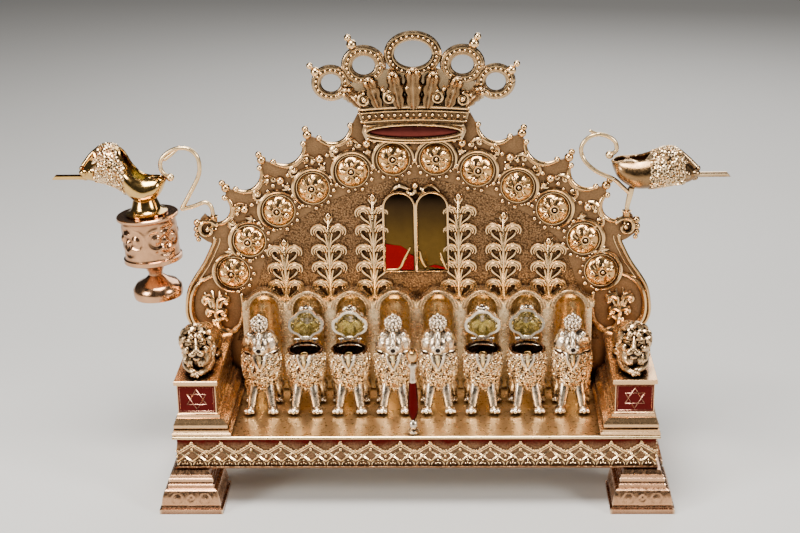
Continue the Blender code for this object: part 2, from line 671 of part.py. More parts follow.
def build_arcade():
    back = PLATE_FRONT - GAP
    front = back - NICHE_WALL - NICHE_DEPTH
    spring = TRAY_TOP + NICHE_HEIGHT - NICHE_WIDTH / 2
    hood = NICHE_WIDTH / 2 + HOOD_BORDER
    valley = spring + hood * 0.30
    reach = math.sqrt(hood ** 2 - (valley - spring) ** 2)
    end = niche_centres()[-1] + hood + ARCADE_MARGIN
    points = [Vector((-end, ON_TRAY)), Vector((end, ON_TRAY)), Vector((end, valley))]
    for x in reversed(niche_centres()):
        start = math.atan2(valley - spring, reach)
        for step in range(6):
            angle = start + (math.pi - 2 * start) * step / 5
            points.append(Vector((x + hood * math.cos(angle), spring + hood * math.sin(angle))))
    points.append(Vector((-end, valley)))
    arcade = place("niche_arcade", extruded_outline("niche_arcade", points, front, back), POLISHED_GILT)

    cutter = bmesh.new()
    for x in niche_centres():
        half = NICHE_WIDTH / 2
        rings = [ellipse((x, front, ON_TRAY - CUT_REACH), half, NICHE_DEPTH, 12),
                 ellipse((x, front, spring), half, NICHE_DEPTH, 12)]
        for share in (0.55, 0.92):
            slim = math.sqrt(1 - share ** 2)
            rings.append(ellipse((x, front, spring + half * share), half * slim, NICHE_DEPTH * slim, 12))
        loft(cutter, rings)
    combine(arcade, worker("niche_hollows", cutter), 'DIFFERENCE')


# Tablets and crown

def build_tablets():
    radius = TABLET_WIDTH / 2
    low = TRAY_TOP + TABLET_BASE
    spring = low + TABLET_HEIGHT - radius
    points = [Vector((-TABLET_WIDTH, low)), Vector((TABLET_WIDTH, low))]
    for centre in (radius, -radius):
        for step in range(7):
            angle = math.pi * step / 6
            if centre < 0 and step == 0:
                continue
            points.append(Vector((centre + radius * math.cos(angle), spring + radius * math.sin(angle))))
    back = PLATE_FRONT - GAP
    place("tablets", extruded_outline("tablets", points, back - TABLET_THICKNESS, back), POLISHED_GILT)


# Crown, drawn 134 mm wide and 69 mm tall: x, height above its underside
CROWN_DRAWN_WIDTH = 134.0
CROWN_DRAWN_HEIGHT = 69.0
CROWN_UNIT = CROWN_HEIGHT / CROWN_DRAWN_HEIGHT      # metres for each drawn millimetre
CROWN_BODY = [(30.0, 0.0), (32.5, 5.5), (31.0, 11.4), (33.0, 12.4), (34.6, 18.4), (33.0, 20.0), (38.5, 24.5),
              (47.5, 26.0), (50.0, 33.0), (42.0, 40.0), (34.0, 39.0), (27.0, 45.5), (18.0, 42.0), (10.0, 48.5),
              (0.0, 45.5)]
CROWN_LOOPS = [(0.0, 54.5, 18.3, 14.5, 11.3, 8.4), (30.4, 47.6, 14.0, 13.2, 7.0, 5.6),
               (50.9, 36.7, 12.8, 11.4, 5.7, 5.8)]
CROWN_FINIALS = [((37.6, 60.6, 3.2), (39.8, 64.9, 2.1)), ((60.4, 43.8, 3.0), (63.8, 47.6, 1.9))]
CROWN_LEAVES = [((0.0, 21.0), (0.0, 45.0)), ((9.5, 21.0), (12.0, 41.0)), ((19.0, 21.0), (25.0, 42.0)),
                ((27.0, 21.0), (37.0, 36.0))]
CROWN_BANDS = [(20.6, 2.6, 33.6), (12.6, 1.6, 30.4), (1.8, -3.6, 24.0)]     # height, fall, half length


def on_crown(point):
    return Vector((point[0] * CROWN_WIDTH / CROWN_DRAWN_WIDTH, TRAY_TOP + CROWN_BASE + point[1] * CROWN_UNIT))


def crown_ellipse(centre, half_x, half_z, sides):
    points = []
    for i in range(sides):
        angle = 2 * math.pi * (i + 0.5) / sides
        points.append(on_crown((centre[0] + half_x * math.cos(angle), centre[1] + half_z * math.sin(angle))))
    return points


def build_crown():
    back = PLATE_FRONT - GAP
    front = back - CROWN_THICKNESS
    half = [on_crown(p) for p in CROWN_BODY]
    outline = half + [Vector((-p.x, p.y)) for p in reversed(half[:-1])]
    crown = place("crown", extruded_outline("crown", outline, front, back), DARK_GILT)

    loops = bmesh.new()
    holes = bmesh.new()
    relief = bmesh.new()
    cut_front, cut_back = front - CUT_REACH, back + CUT_REACH
    for row, (x, z, half_x, half_z, hole_x, hole_z) in enumerate(CROWN_LOOPS):
        for sign in ((1,) if x == 0 else (-1, 1)):
            rim = crown_ellipse((sign * x, z), half_x, half_z, 10)
            hole = crown_ellipse((sign * x, z), hole_x, hole_z, 8)
            inset = LOOP_STEP * (1 + 2.5 * row)
            loft(loops, [[Vector((p.x, y, p.y)) for p in rim] for y in (front + inset, back - inset)])
            loft(holes, [[Vector((p.x, y, p.y)) for p in hole] for y in (cut_front, cut_back)])
    middle = (front + back) / 2
    for pair in CROWN_FINIALS:
        for sign in (-1, 1):
            spots = [on_crown((sign * x, z)) for x, z, _ in pair]
            for spot, (_, _, radius) in zip(spots, pair):
                ball(loops, (spot.x, middle, spot.y), radius * CROWN_UNIT)
            loft(loops, [[Vector((spot.x + dx, middle + dy, spot.y)) for dx, dy in
                          ((-CROWN_NECK, 0), (0, -CROWN_NECK), (CROWN_NECK, 0), (0, CROWN_NECK))]
                         for spot in spots])
    for start, end in CROWN_LEAVES:
        for sign in ((1,) if start[0] == 0 else (-1, 1)):
            path = mirrored([on_crown(start), on_crown(end)], sign)
            raise_ridge(relief, path, LEAF_WIDTH, CROWN_RELIEF, front, tail=1.5)
    for height, drop, reach in CROWN_BANDS:
        path = [on_crown((reach * share, height - drop * share ** 2)) for share in (-1, -0.5, 0, 0.5, 1)]
        raise_ridge(relief, path, BAND_WIDTH, CROWN_RELIEF, front, tail=1.0)
    combine(crown, worker("crown_loops", loops), 'UNION', crossing=True)
    combine(crown, worker("crown_relief", relief), 'UNION', crossing=True)
    combine(crown, worker("crown_holes", holes), 'DIFFERENCE')


# Oil lion, drawn 40.4 mm from the tray to its rim: x across, y back from the front paws, z up
LION_DRAWN_HEIGHT = 40.4
LION_DRAWN_WIDTH = 25.2
LION_SIDES = 8
LION_HINGE_Y = 19.4
LION_RIM_Y = 10.4
LION_OUTSIDE = [(13.0, 12.3, 7.4, 6.8), (18.0, 11.8, 10.8, 10.4), (26.0, 11.2, 11.6, 12.6),
                (35.0, 10.7, 10.4, 12.4)]
LION_RIM = (9.1, 11.3)
LION_INNER_RIM = (7.7, 9.8)
LION_INSIDE = [(21.0, 11.2, 7.2, 8.0)]
FRONT_LEG = [(20.0, 4.8, 5.4, 3.8, 3.8), (5.0, 6.6, 1.8, 2.3, 2.7), (3.0, 7.3, -0.4, 3.3, 4.2),
             (0.0, 7.4, -0.6, 3.4, 4.4)]
HIND_LEG = [(20.0, 7.0, 17.4, 4.4, 5.4), (11.0, 8.4, 20.0, 4.3, 5.8), (0.0, 9.1, 21.4, 2.9, 4.8)]
LIP = [(37.6, 3.9, 1.4), (29.0, 0.9, 0.2)]
LION_SCALE = LION_HEIGHT / LION_DRAWN_HEIGHT     # metres for each drawn millimetre
LION_SPREAD = (NICHE_PITCH - LION_GAP) / LION_DRAWN_WIDTH     # the same across the lion


def rim_height(y):
    """Height of the tilted rim plane in the lion's drawing, above the tray."""
    return LION_DRAWN_HEIGHT + (y - LION_HINGE_Y) * math.tan(math.radians(RIM_TILT_DEG))


def lion_ring(y, z, half_y, half_x):
    return ellipse((0, y, z), half_x, half_y, LION_SIDES, math.pi / LION_SIDES)


def rim_ring(half_y, half_x):
    ring = lion_ring(LION_RIM_Y, 0, half_y, half_x)
    for point in ring:
        point.z = rim_height(point.y)
    return ring


def lion_mesh():
    """Body with an open oil well, four legs and a lip under the wick."""
    rings = [lion_ring(y, z, half_y, half_x) for z, y, half_y, half_x in LION_OUTSIDE]
    for row, ring in enumerate(rings[1:], 1):
        for i, point in enumerate(ring):
            middle = Vector((0, LION_OUTSIDE[row][1], point.z))
            curl = 1.02 if (i + row) % 2 else 0.96
            point.xy = (middle + (point - middle) * curl).xy
    rings += [rim_ring(*LION_RIM), rim_ring(*LION_INNER_RIM)]
    rings += [lion_ring(y, z, half_y, half_x) for z, y, half_y, half_x in LION_INSIDE]
    body = bmesh.new()
    loft(body, rings)
    limbs = bmesh.new()
    for sign in (-1, 1):
        for leg in (FRONT_LEG, HIND_LEG):
            sides = 5 if leg is FRONT_LEG else 4
            loft(limbs, [ellipse((sign * x, y, z), half_x, half_y, sides, math.pi / 4)
                         for z, x, y, half_x, half_y in leg])
    lip = []
    for z, half_x, y in LIP:
        lip.append([Vector((-half_x, 3.0, z)), Vector((half_x, 3.0, z)),
                    Vector((half_x * 0.7, y - 1.6, z)), Vector((-half_x * 0.7, y - 1.6, z))])
    loft(limbs, lip)
    size = Matrix.Diagonal((LION_SPREAD, LION_SCALE, LION_SCALE, 1.0))
    for bm in (body, limbs):
        bmesh.ops.transform(bm, matrix=size, verts=bm.verts)
    master = place("lion", mesh_from("oil_lion", body), AGED_SILVER)
    combine(master, worker("lion_limbs", limbs), 'UNION', crossing=True)
    mesh = finished_mesh(master)
    bpy.data.objects.remove(master)
    return mesh


# Lid, drawn from its hinge: height above the rim plane, middle behind the hinge, half depth, half width
LID_OUTSIDE = [(0.0, -9.2, 9.2, 11.4), (5.5, -9.3, 9.3, 12.0), (11.6, -9.6, 6.0, 7.0), (14.2, -9.6, 3.0, 3.2)]
LID_INSIDE = [(8.6, -9.4, 5.6, 6.8), (0.0, -9.2, 7.7, 9.9)]
LID_SIDES = 8
MUZZLE = [(-14.5, 5.4, 4.4, 4.8), (-20.8, 4.1, 2.8, 3.1)]
LID_CROWN = [(0.0, 24.4), (4.6, 22.2), (5.1, 18.0), (3.4, 13.8), (0.0, 13.8)]


def lid_mesh():
    """A lion's head as a hollow lid, with its crown. Its origin is the hinge, its rim plane is level."""
    shell = bmesh.new()
    rings = [ellipse((0, y, z), half_x, half_y, LID_SIDES, math.pi / LID_SIDES)
             for z, y, half_y, half_x in LID_OUTSIDE[::-1] + LID_INSIDE[::-1]]
    loft(shell, rings)
    face = bmesh.new()
    loft(face, [[Vector((half_x * c, y, z + half_z * s)) for c, s in
                 ((1, 0.3), (0, 1), (-1, 0.3), (-0.8, -0.75), (0.8, -0.75))]
                for y, z, half_z, half_x in MUZZLE])
    size = Matrix.Diagonal((LION_SPREAD, LION_SCALE, LION_SCALE, 1.0))
    size.translation.z = -HINGE_RADIUS
    for bm in (shell, face):
        bmesh.ops.transform(bm, matrix=size, verts=bm.verts)
    knuckle = bmesh.new()
    turn = Matrix.Rotation(math.radians(90), 4, 'Y')
    bmesh.ops.create_cone(knuckle, cap_ends=True, segments=6, radius1=HINGE_RADIUS, radius2=HINGE_RADIUS,
                          depth=HINGE_LENGTH, matrix=turn)
    master = place("head", mesh_from("lion_head", shell), AGED_SILVER)
    combine(master, worker("head_face", face), 'UNION')
    combine(master, worker("head_knuckle", knuckle), 'UNION')
    crown = turned("head_crown", [(r * LION_SCALE, z * LION_SCALE) for r, z in LID_CROWN], None,
                   (0, LID_OUTSIDE[-1][1] * LION_SCALE, -HINGE_RADIUS), 6, collection=CUTTERS)
    combine(master, crown, 'UNION')
    mesh = finished_mesh(master)
    bpy.data.objects.remove(master)
    return mesh


def build_lions():
    body, head = lion_mesh(), lid_mesh()
    hinge_y = LION_FRONT + LION_HINGE_Y * LION_SCALE
    for number, x in enumerate(niche_centres(), 1):
        place(f"oil_lion_{number}", body, AGED_SILVER, (x, LION_FRONT, ON_TRAY))
        lid = place(f"lion_head_{number}", head, AGED_SILVER, (x, hinge_y, HINGE_Z))
        lid.rotation_euler.x = math.radians(RIM_TILT_DEG - OPEN_ANGLE_DEG.get(number, 0.0))


# Centre post: (share of the radius, share of the height) from the top down
POST_PROFILE = [(0.0, 1.0), (0.70, 0.98), (1.0, 0.93), (0.50, 0.855), (0.92, 0.825),
                (0.60, 0.79), (0.62, 0.62), (0.88, 0.28), (0.35, 0.165),
                (0.84, 0.10), (0.45, 0.04), (0.95, 0.03), (0.95, 0.0), (0.0, 0.0)]


def build_post():
    profile = [(r * POST_RADIUS, z * POST_HEIGHT) for r, z in POST_PROFILE]
    turned("centre_post", profile, ROSE_GILT, (POST_OFFSET, POST_PLACE, ON_TRAY), 8)


# Servants, drawn in the plate's middle plane: x and z in mm from the peg's socket, outwards positive
DRUM_PROFILE = [(0.0, 1.0), (1.0, 1.0), (1.0, 0.955), (0.90, 0.94), (0.89, 0.52), (0.95, 0.50), (0.95, 0.455),
                (0.42, 0.40), (0.22, 0.28), (0.62, 0.19), (0.80, 0.12), (0.80, 0.05), (0.62, 0.0), (0.0, 0.0)]
# x along the bowl, underside and top above the bowl's datum, half depth
JUG_BOWL = [(-13.4, 20.5, 23.0, 2.2), (-9.0, 12.0, 24.8, 8.6), (0.0, 6.5, 25.5, 11.8),
            (8.0, 9.6, 32.0, 12.4), (15.0, 16.0, 43.4, 12.4), (25.0, 20.4, 45.2, 11.0),
            (34.2, 22.0, 36.5, 6.8), (38.8, 23.6, 30.0, 3.8)]
JUG_MOUTH = [(-20.0, 22.4), (-13.0, 22.2), (-4.0, 24.6), (0.5, 23.0), (5.5, 25.4), (15.8, 44.4), (16.5, 60.0),
             (-20.0, 60.0)]
LAMP_BOWL = [(-14.0, 14.0, 18.0, 3.0), (-10.0, 6.4, 20.2, 9.4), (0.0, 0.0, 20.8, 12.8),
             (11.0, 0.0, 23.0, 13.0), (19.0, 1.2, 26.0, 12.4), (26.0, 2.2, 25.0, 10.8), (33.0, 3.2, 18.0, 7.2),
             (38.3, 6.0, 12.4, 3.8)]
LAMP_MOUTH = [(-20.0, 17.4), (-13.5, 17.2), (-4.0, 19.6), (6.0, 19.2), (10.0, 22.4), (14.0, 26.4), (14.6, 50.0),
              (-20.0, 50.0)]
JUG_SPOUT = (24.8, 59.4)
LAMP_SPOUT = (8.8, 60.2)
JUG_THROAT = (-2.6, 7.4, 8.4)   # middle, half length and half depth of the open mouth
LAMP_THROAT = (0.5, 9.6, 9.6)
SERVANT_UNIT = SERVANT_REACH / LAMP_SPOUT[1]        # metres for each drawn millimetre
SPOUT_ROOT = 2.4                # the spout's pipe and bore start this far inside the bowl
SPOUT_LIP = 0.3                 # the open part of the spout is cut this far above its axis
SERVANT_PAST = 5.0              # cutters pass the bowl by this much
JUG_DATUM = (42.5, 2.4)         # from the socket to the bowl's datum
LAMP_DATUM = (4.3, 15.3)
NECK_PROFILE = [(6.0, 14.0), (8.6, 7.0), (10.6, 2.2), (13.4, 1.0), (13.4, 0.0)]


def servant_point(sign, x, z, y=0.0):
    """A drawn point of a servant in metres, outwards from its socket."""
    return Vector(socket_top(sign)) + Vector((sign * x, y, z)) * SERVANT_UNIT


def servant_bowl(name, sign, datum, sections, mouth, throat, spout, material):
    """A bowl with a lion's-head front, open on top, and a half-pipe spout."""
    def section_rings(shrink, rows):
        rings = []
        for x, low, high, half_y in rows:
            middle, half_z = (low + high) / 2, (high - low) / 2
            rings.append(upright_ellipse(x, middle, max(0.6, half_z - shrink), max(0.6, half_y - shrink), 8))
        return rings

    outside, hollow, opening, way_in, pipe, bore, cut = (bmesh.new() for _ in range(7))
    loft(outside, section_rings(0.0, sections))
    loft(hollow, section_rings(BOWL_WALL / SERVANT_UNIT, sections[1:-1]))
    past_side = SERVANT_PAST + max(half_y for _, _, _, half_y in sections)
    loft(opening, [[Vector((x, y, z)) for x, z in mouth] for y in (-past_side, past_side)])
    middle, half_x, half_y = throat
    floor, ceiling = mouth[0][1] - SERVANT_PAST, mouth[-1][1]
    loft(way_in, [ellipse((middle, 0, z), half_x, half_y, 12) for z in (floor, ceiling)])
    height, tip = spout
    past_tip = tip + SERVANT_PAST
    turn = Matrix.Rotation(math.radians(90), 4, 'Y')
    root = sections[-2][0] - SPOUT_ROOT
    inside = sections[-3][0] - SPOUT_ROOT
    radius, hole = SPOUT_RADIUS / SERVANT_UNIT, SPOUT_BORE / SERVANT_UNIT
    bmesh.ops.create_cone(pipe, cap_ends=True, segments=6, radius1=radius, radius2=radius, depth=tip - root,
                          matrix=Matrix.Translation(((tip + root) / 2, 0, height)) @ turn)
    bmesh.ops.create_cone(bore, cap_ends=True, segments=6, radius1=hole, radius2=hole, depth=past_tip - inside,
                          matrix=Matrix.Translation(((past_tip + inside) / 2, 0, height)) @ turn)
    bmesh.ops.create_cube(cut, size=1.0)
    open_low, open_high = height + SPOUT_LIP, height + SERVANT_PAST
    open_start = sections[-1][0] + SPOUT_ROOT
    bmesh.ops.scale(cut, verts=cut.verts, vec=(past_tip - open_start, 2 * SERVANT_PAST, open_high - open_low))
    bmesh.ops.translate(cut, verts=cut.verts,
                        vec=((past_tip + open_start) / 2, 0, (open_low + open_high) / 2))

    spot = servant_point(sign, *datum)
    size = Matrix.Translation(spot) @ Matrix.Diagonal((sign * SERVANT_UNIT, SERVANT_UNIT, SERVANT_UNIT, 1.0))
    for bm in (outside, hollow, opening, way_in, pipe, bore, cut):
        bmesh.ops.transform(bm, matrix=size, verts=bm.verts)
    bowl = place(name, mesh_from(name, outside), material)
    combine(bowl, worker(f"{name}_pipe", pipe), 'UNION')
    return bowl, [worker(f"{name}_hollow", hollow), worker(f"{name}_opening", opening),
                  worker(f"{name}_way_in", way_in), worker(f"{name}_bore", bore), worker(f"{name}_cut", cut)]


def wire(name, points, radius, material, cast):
    """A bent wire through a row of points, with the cast bits that are soldered to it."""
    curve = bpy.data.curves.new(name, 'CURVE')
    curve.dimensions = '3D'
    curve.bevel_depth = radius
    curve.bevel_resolution = 1
    curve.use_fill_caps = True
    spline = curve.splines.new('POLY')
    spline.points.add(len(points) - 1)
    for knot, point in zip(spline.points, points):
        knot.co = (*point, 1.0)
    guide = bpy.data.objects.new(name, curve)
    CUTTERS.objects.link(guide)
    mesh = finished_mesh(guide)
    bpy.data.objects.remove(guide)
    bm = bmesh.new()
    bm.from_mesh(mesh)
    bmesh.ops.remove_doubles(bm, verts=bm.verts, dist=0.00001)
    handle = place(name, mesh_from(name, bm), material)
    combine(handle, worker(f"{name}_cast", cast), 'UNION', crossing=True)
    return handle


# x outwards and z up from the socket's mouth, then how far back the wire is bent
JUG_HANDLE = [(26.4, 25.8), (29.8, 28.2), (31.8, 32.2), (31.0, 37.4), (27.0, 41.8), (20.6, 44.8), (13.4, 44.4),
              (8.2, 39.6), (6.9, 32.0), (8.6, 25.0), (20.0, 4.6)]
JUG_ARM = [(12.0, 6.6), (5.2, 9.2), (1.6, 7.0), (0.2, 2.4)]
JUG_KNOB = (26.0, 25.8)
LAMP_HANDLE = [(-11.0, 36.6), (-7.4, 39.6), (-8.2, 44.8), (-12.8, 48.6), (-19.0, 50.0), (-25.0, 47.8),
               (-29.0, 42.6), (-28.8, 36.6), (-25.4, 31.2, -1.5), (-19.0, 26.6, -3.6), (-9.0, 22.0, -4.2),
               (-4.0, 17.2, -2.4), (1.4, 11.6)]
LAMP_KNOB = (-11.6, 36.6)
LAMP_PEG = [(2.6, 14.9, 2.2), (1.8, 10.0, 1.9), (0.0, 1.0, 1.45)]
KNOB_RADIUS = 0.0026


def build_servants():
    sign = -1
    bowl, cuts = servant_bowl("jug_bowl", sign, JUG_DATUM, JUG_BOWL, JUG_MOUTH, JUG_THROAT, JUG_SPOUT,
                              POLISHED_GILT)
    seat = servant_point(sign, *JUG_DATUM)
    tilt = -math.radians(JUG_TILT_DEG)
    unit = SERVANT_UNIT
    neck = bmesh.new()
    loft(neck, [ellipse((0, 0, z * unit), r * unit, r * unit, 8) for r, z in NECK_PROFILE])
    bmesh.ops.transform(neck, matrix=Matrix.Translation(seat) @ Matrix.Rotation(tilt, 4, 'Y'), verts=neck.verts)
    combine(bowl, worker("jug_neck", neck), 'UNION')
    for cut in cuts:
        combine(bowl, cut, 'DIFFERENCE')

    profile = [(r * DRUM_RADIUS, (z - 1.0) * DRUM_HEIGHT) for r, z in DRUM_PROFILE]
    drum = turned("jug_drum", profile, ROSE_GILT, (0, 0, 0), 10)
    drum.rotation_euler.y = tilt
    drum.location = seat + Matrix.Rotation(tilt, 3, 'Y') @ Vector((0, 0, -GAP))

    bowl, cuts = servant_bowl("shamash_bowl", 1, LAMP_DATUM, LAMP_BOWL, LAMP_MOUTH, LAMP_THROAT, LAMP_SPOUT,
                              ROSE_GILT)
    for cut in cuts:
        combine(bowl, cut, 'DIFFERENCE')

    foot = Vector(socket_top(-1))
    foot.z -= PEG_LENGTH
    knob = bmesh.new()
    ball(knob, servant_point(-1, *JUG_KNOB), KNOB_RADIUS)
    points = [servant_point(-1, *p) for p in JUG_HANDLE + JUG_ARM] + [foot]
    wire("jug_handle", points, WIRE_RADIUS, PALE_GILT, knob)

    foot = Vector(socket_top(1))
    foot.z -= PEG_LENGTH
    cast = bmesh.new()
    ball(cast, servant_point(1, *LAMP_KNOB), KNOB_RADIUS)
    rings = [ellipse(servant_point(1, x, z), r * unit, r * unit, 8) for x, z, r in LAMP_PEG]
    rings.append(ellipse(foot, WIRE_RADIUS, WIRE_RADIUS, 8))
    loft(cast, rings)
    points = [servant_point(1, *p) for p in LAMP_HANDLE]
    wire("shamash_handle", points, WIRE_RADIUS, PALE_GILT, cast)


def centre_lamp():
    """Move the lamp so that the middle of its bounding box stands on the origin."""
    bpy.context.view_layer.update()
    graph = bpy.context.evaluated_depsgraph_get()
    corners = []
    for piece in PARTS.objects:
        if piece.type == 'MESH':
            shape = piece.evaluated_get(graph)
            corners += [piece.matrix_world @ vertex.co for vertex in shape.data.vertices]
    middle_x = (min(c.x for c in corners) + max(c.x for c in corners)) / 2
    middle_y = (min(c.y for c in corners) + max(c.y for c in corners)) / 2
    LAMP.location = (-middle_x, -middle_y, 0)
    bpy.context.view_layer.update()


build_feet()
build_frieze_box()
build_tray()
build_arms()
build_guardians()
build_back_plate()
build_arcade()
build_tablets()
build_crown()
build_lions()
build_post()
build_servants()
centre_lamp()
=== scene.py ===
# %% [markdown]
# Silver-gilt Hanukkah lamp of the bench type, dressed for a studio picture.
# The real lamp is cast and chased silver, gilded, and then darkened in the recesses. Its parts are soldered
# or screwed together, and eight lion's-head lids turn on small hinges.
# The imported model gives every place and size. This file adds what the silversmith did after the pieces were
# cut to shape: rolled edges, pearls, leaves, fur, curls and the worn gilding. Its colours also hold painted
# shade, painted highlights and painted reflections.
# %% Load the frame
import json
import math

import bpy
import bmesh
from mathutils import Matrix, Vector


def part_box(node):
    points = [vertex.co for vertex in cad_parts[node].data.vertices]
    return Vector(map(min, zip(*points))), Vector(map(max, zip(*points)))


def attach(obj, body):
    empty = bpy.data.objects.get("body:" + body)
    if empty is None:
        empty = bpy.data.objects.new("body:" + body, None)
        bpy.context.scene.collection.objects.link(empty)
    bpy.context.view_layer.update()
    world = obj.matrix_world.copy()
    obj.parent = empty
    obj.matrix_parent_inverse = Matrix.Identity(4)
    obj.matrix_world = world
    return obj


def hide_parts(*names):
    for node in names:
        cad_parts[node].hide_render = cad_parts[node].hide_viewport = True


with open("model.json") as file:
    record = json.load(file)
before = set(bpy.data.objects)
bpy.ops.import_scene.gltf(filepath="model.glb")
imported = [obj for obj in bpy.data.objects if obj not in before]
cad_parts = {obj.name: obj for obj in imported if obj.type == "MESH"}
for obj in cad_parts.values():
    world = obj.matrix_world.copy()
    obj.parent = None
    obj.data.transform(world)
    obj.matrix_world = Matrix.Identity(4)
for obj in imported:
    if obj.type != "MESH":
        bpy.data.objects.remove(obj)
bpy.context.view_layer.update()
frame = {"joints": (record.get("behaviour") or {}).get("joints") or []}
MM = 0.001
TRAY_LOW, TRAY_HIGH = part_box("tray")
MIDDLE_X = (TRAY_LOW.x + TRAY_HIGH.x) / 2
FRONT_Y = TRAY_LOW.y
TRAY_TOP = TRAY_HIGH.z / MM
TO_WORLD = Matrix.Translation((MIDDLE_X, FRONT_Y, 0)) @ Matrix.Scale(MM, 4)

# %% [markdown]
# The shapes below are drawn in millimetres: x from the lamp's mid-plane, y back from the tray's front edge
# and z up from the table. One matrix, TO_WORLD, takes a finished mesh to its place in metres, so every
# object keeps its own origin at the world's origin.
# The camera stands where the photographer stood: a little right of the middle, almost a metre away and
# looking down by twenty degrees through a long lens, so the lamp shows little perspective.
# %% Camera
CAMERA_PLACE = Vector((31.3, -935.6, 500.4))
CAMERA_PITCH, CAMERA_YAW, CAMERA_ROLL = 0.349, -0.041, -0.02
CAMERA_LENS = 75.99
SENSOR_WIDTH = 36.0


def camera_turn(pitch, yaw, roll):
    """Rotation of a camera that looks along +Y, then down, round and about its own axis."""
    ahead = Vector((math.sin(yaw) * math.cos(pitch), math.cos(yaw) * math.cos(pitch), -math.sin(pitch)))
    right = ahead.cross(Vector((0, 0, 1))).normalized()
    up = right.cross(ahead)
    right_rolled = right * math.cos(roll) + up * math.sin(roll)
    up_rolled = up * math.cos(roll) - right * math.sin(roll)
    return Matrix((right_rolled, up_rolled, -ahead)).transposed()


lens = bpy.data.cameras.new("studio_camera")
lens.lens = CAMERA_LENS
lens.sensor_width = SENSOR_WIDTH
lens.clip_start = 0.01
camera = bpy.data.objects.new("studio_camera", lens)
bpy.context.scene.collection.objects.link(camera)
turn = camera_turn(CAMERA_PITCH, CAMERA_YAW, CAMERA_ROLL).to_4x4()
camera.matrix_world = Matrix.Translation(TO_WORLD @ CAMERA_PLACE) @ turn
bpy.context.scene.camera = camera
print("camera at", [round(c, 3) for c in camera.location])

# %% [markdown]
# Polished metal shows what stands round it, so the light matters as much as the colour. Soft boxes are large
# area lights: one over the lamp gives the cream-white tops of the domes and pearls, one at each side draws the
# edges, and a dim grey world leaves the recesses dark. A plain pale floor carries the lamp.
# %% Floor and studio light
FLOOR_SIZE = 12.0


def soft_box(name, place, target, size, power, colour=(1.0, 1.0, 1.0)):
    """A square area light that looks at a target."""
    light = bpy.data.lights.new(name, 'AREA')
    light.size = size
    light.energy = power
    light.color = colour
    box = bpy.data.objects.new(name, light)
    bpy.context.scene.collection.objects.link(box)
    box.location = place
    box.rotation_euler = (Vector(target) - Vector(place)).to_track_quat('-Z', 'Y').to_euler()
    return box


soft_box("top_box", (-0.1, -0.25, 1.1), (0, 0, 0.1), 0.5, 24.0, (1.0, 0.98, 0.95))
soft_box("left_box", (-1.1, -0.8, 0.6), (0, 0, 0.15), 0.45, 20.0, (1.0, 0.96, 0.9))
soft_box("right_box", (1.1, -0.7, 0.7), (0, 0, 0.15), 0.35, 16.0, (1.0, 0.95, 0.88))
soft_box("back_box", (0.2, 1.0, 0.8), (0, 0, 0.15), 0.8, 8.0)

world = bpy.data.worlds.new("studio")
world.use_nodes = True
world.node_tree.nodes["Background"].inputs["Color"].default_value = (0.72, 0.72, 0.74, 1.0)
world.node_tree.nodes["Background"].inputs["Strength"].default_value = 0.07
bpy.context.scene.world = world

paper = bpy.data.materials.new("pale_floor")
paper.use_nodes = True
paper.node_tree.nodes["Principled BSDF"].inputs["Base Color"].default_value = (0.58, 0.57, 0.55, 1.0)
paper.node_tree.nodes["Principled BSDF"].inputs["Roughness"].default_value = 0.7
ground = bmesh.new()
bmesh.ops.create_grid(ground, x_segments=2, y_segments=2, size=FLOOR_SIZE / 2)
floor_mesh = bpy.data.meshes.new("floor")
ground.to_mesh(floor_mesh)
ground.free()
floor_mesh.materials.append(paper)
floor = bpy.data.objects.new("floor", floor_mesh)
bpy.context.scene.collection.objects.link(floor)
print("floor and", len(bpy.data.lights), "lights")

# %% [markdown]
# Gilding wears off the high spots and collects tarnish in the low ones, and the colour also carries painted
# light. An Ambient Occlusion node measures how much a point is shut in by its neighbours, and the material
# darkens those low spots towards deep: painted shade, which also stands for the tarnish. That works on any
# mesh, without a UV map. Pointiness lightens sharp edges: worn gilding and a painted highlight. Noise in
# Object coordinates breaks the colour into patches, and a second, much finer noise gives the grain of cast or
# hammered metal. Some surfaces have a punched ground: cells from a Voronoi texture. A few pieces get a
# painted reflection over a range of heights: dark red on the frieze, a darker brown on the tablets.
# %% Metal finishes
SHADE_REACH = 0.0055


def new_node(tree, kind, **settings):
    node = tree.nodes.new(kind)
    for key, value in settings.items():
        setattr(node, key, value)
    return node


def blend_colours(tree, factor, first, second, mode='MIX'):
    """A colour mix; each side is a socket or a plain colour."""
    mix = new_node(tree, 'ShaderNodeMix', data_type='RGBA', blend_type=mode)
    if isinstance(factor, float):
        mix.inputs[0].default_value = factor
    else:
        tree.links.new(factor, mix.inputs[0])
    for socket, value in ((mix.inputs[6], first), (mix.inputs[7], second)):
        if isinstance(value, tuple):
            socket.default_value = (*value, 1.0)
        else:
            tree.links.new(value, socket)
    return mix.outputs[2]


def mapped(tree, value, low, high, to_low=0.0, to_high=1.0):
    """A value taken from one range to another, and kept inside it."""
    node = new_node(tree, 'ShaderNodeMapRange', clamp=True)
    for index, number in ((1, low), (2, high), (3, to_low), (4, to_high)):
        node.inputs[index].default_value = number
    tree.links.new(value, node.inputs[0])
    return node.outputs[0]


def noise_of(tree, place, scale, detail=4.0, rough=0.6):
    node = new_node(tree, 'ShaderNodeTexNoise')
    node.inputs["Scale"].default_value = scale
    node.inputs["Detail"].default_value = detail
    node.inputs["Roughness"].default_value = rough
    tree.links.new(place, node.inputs["Vector"])
    return node.outputs["Fac"]


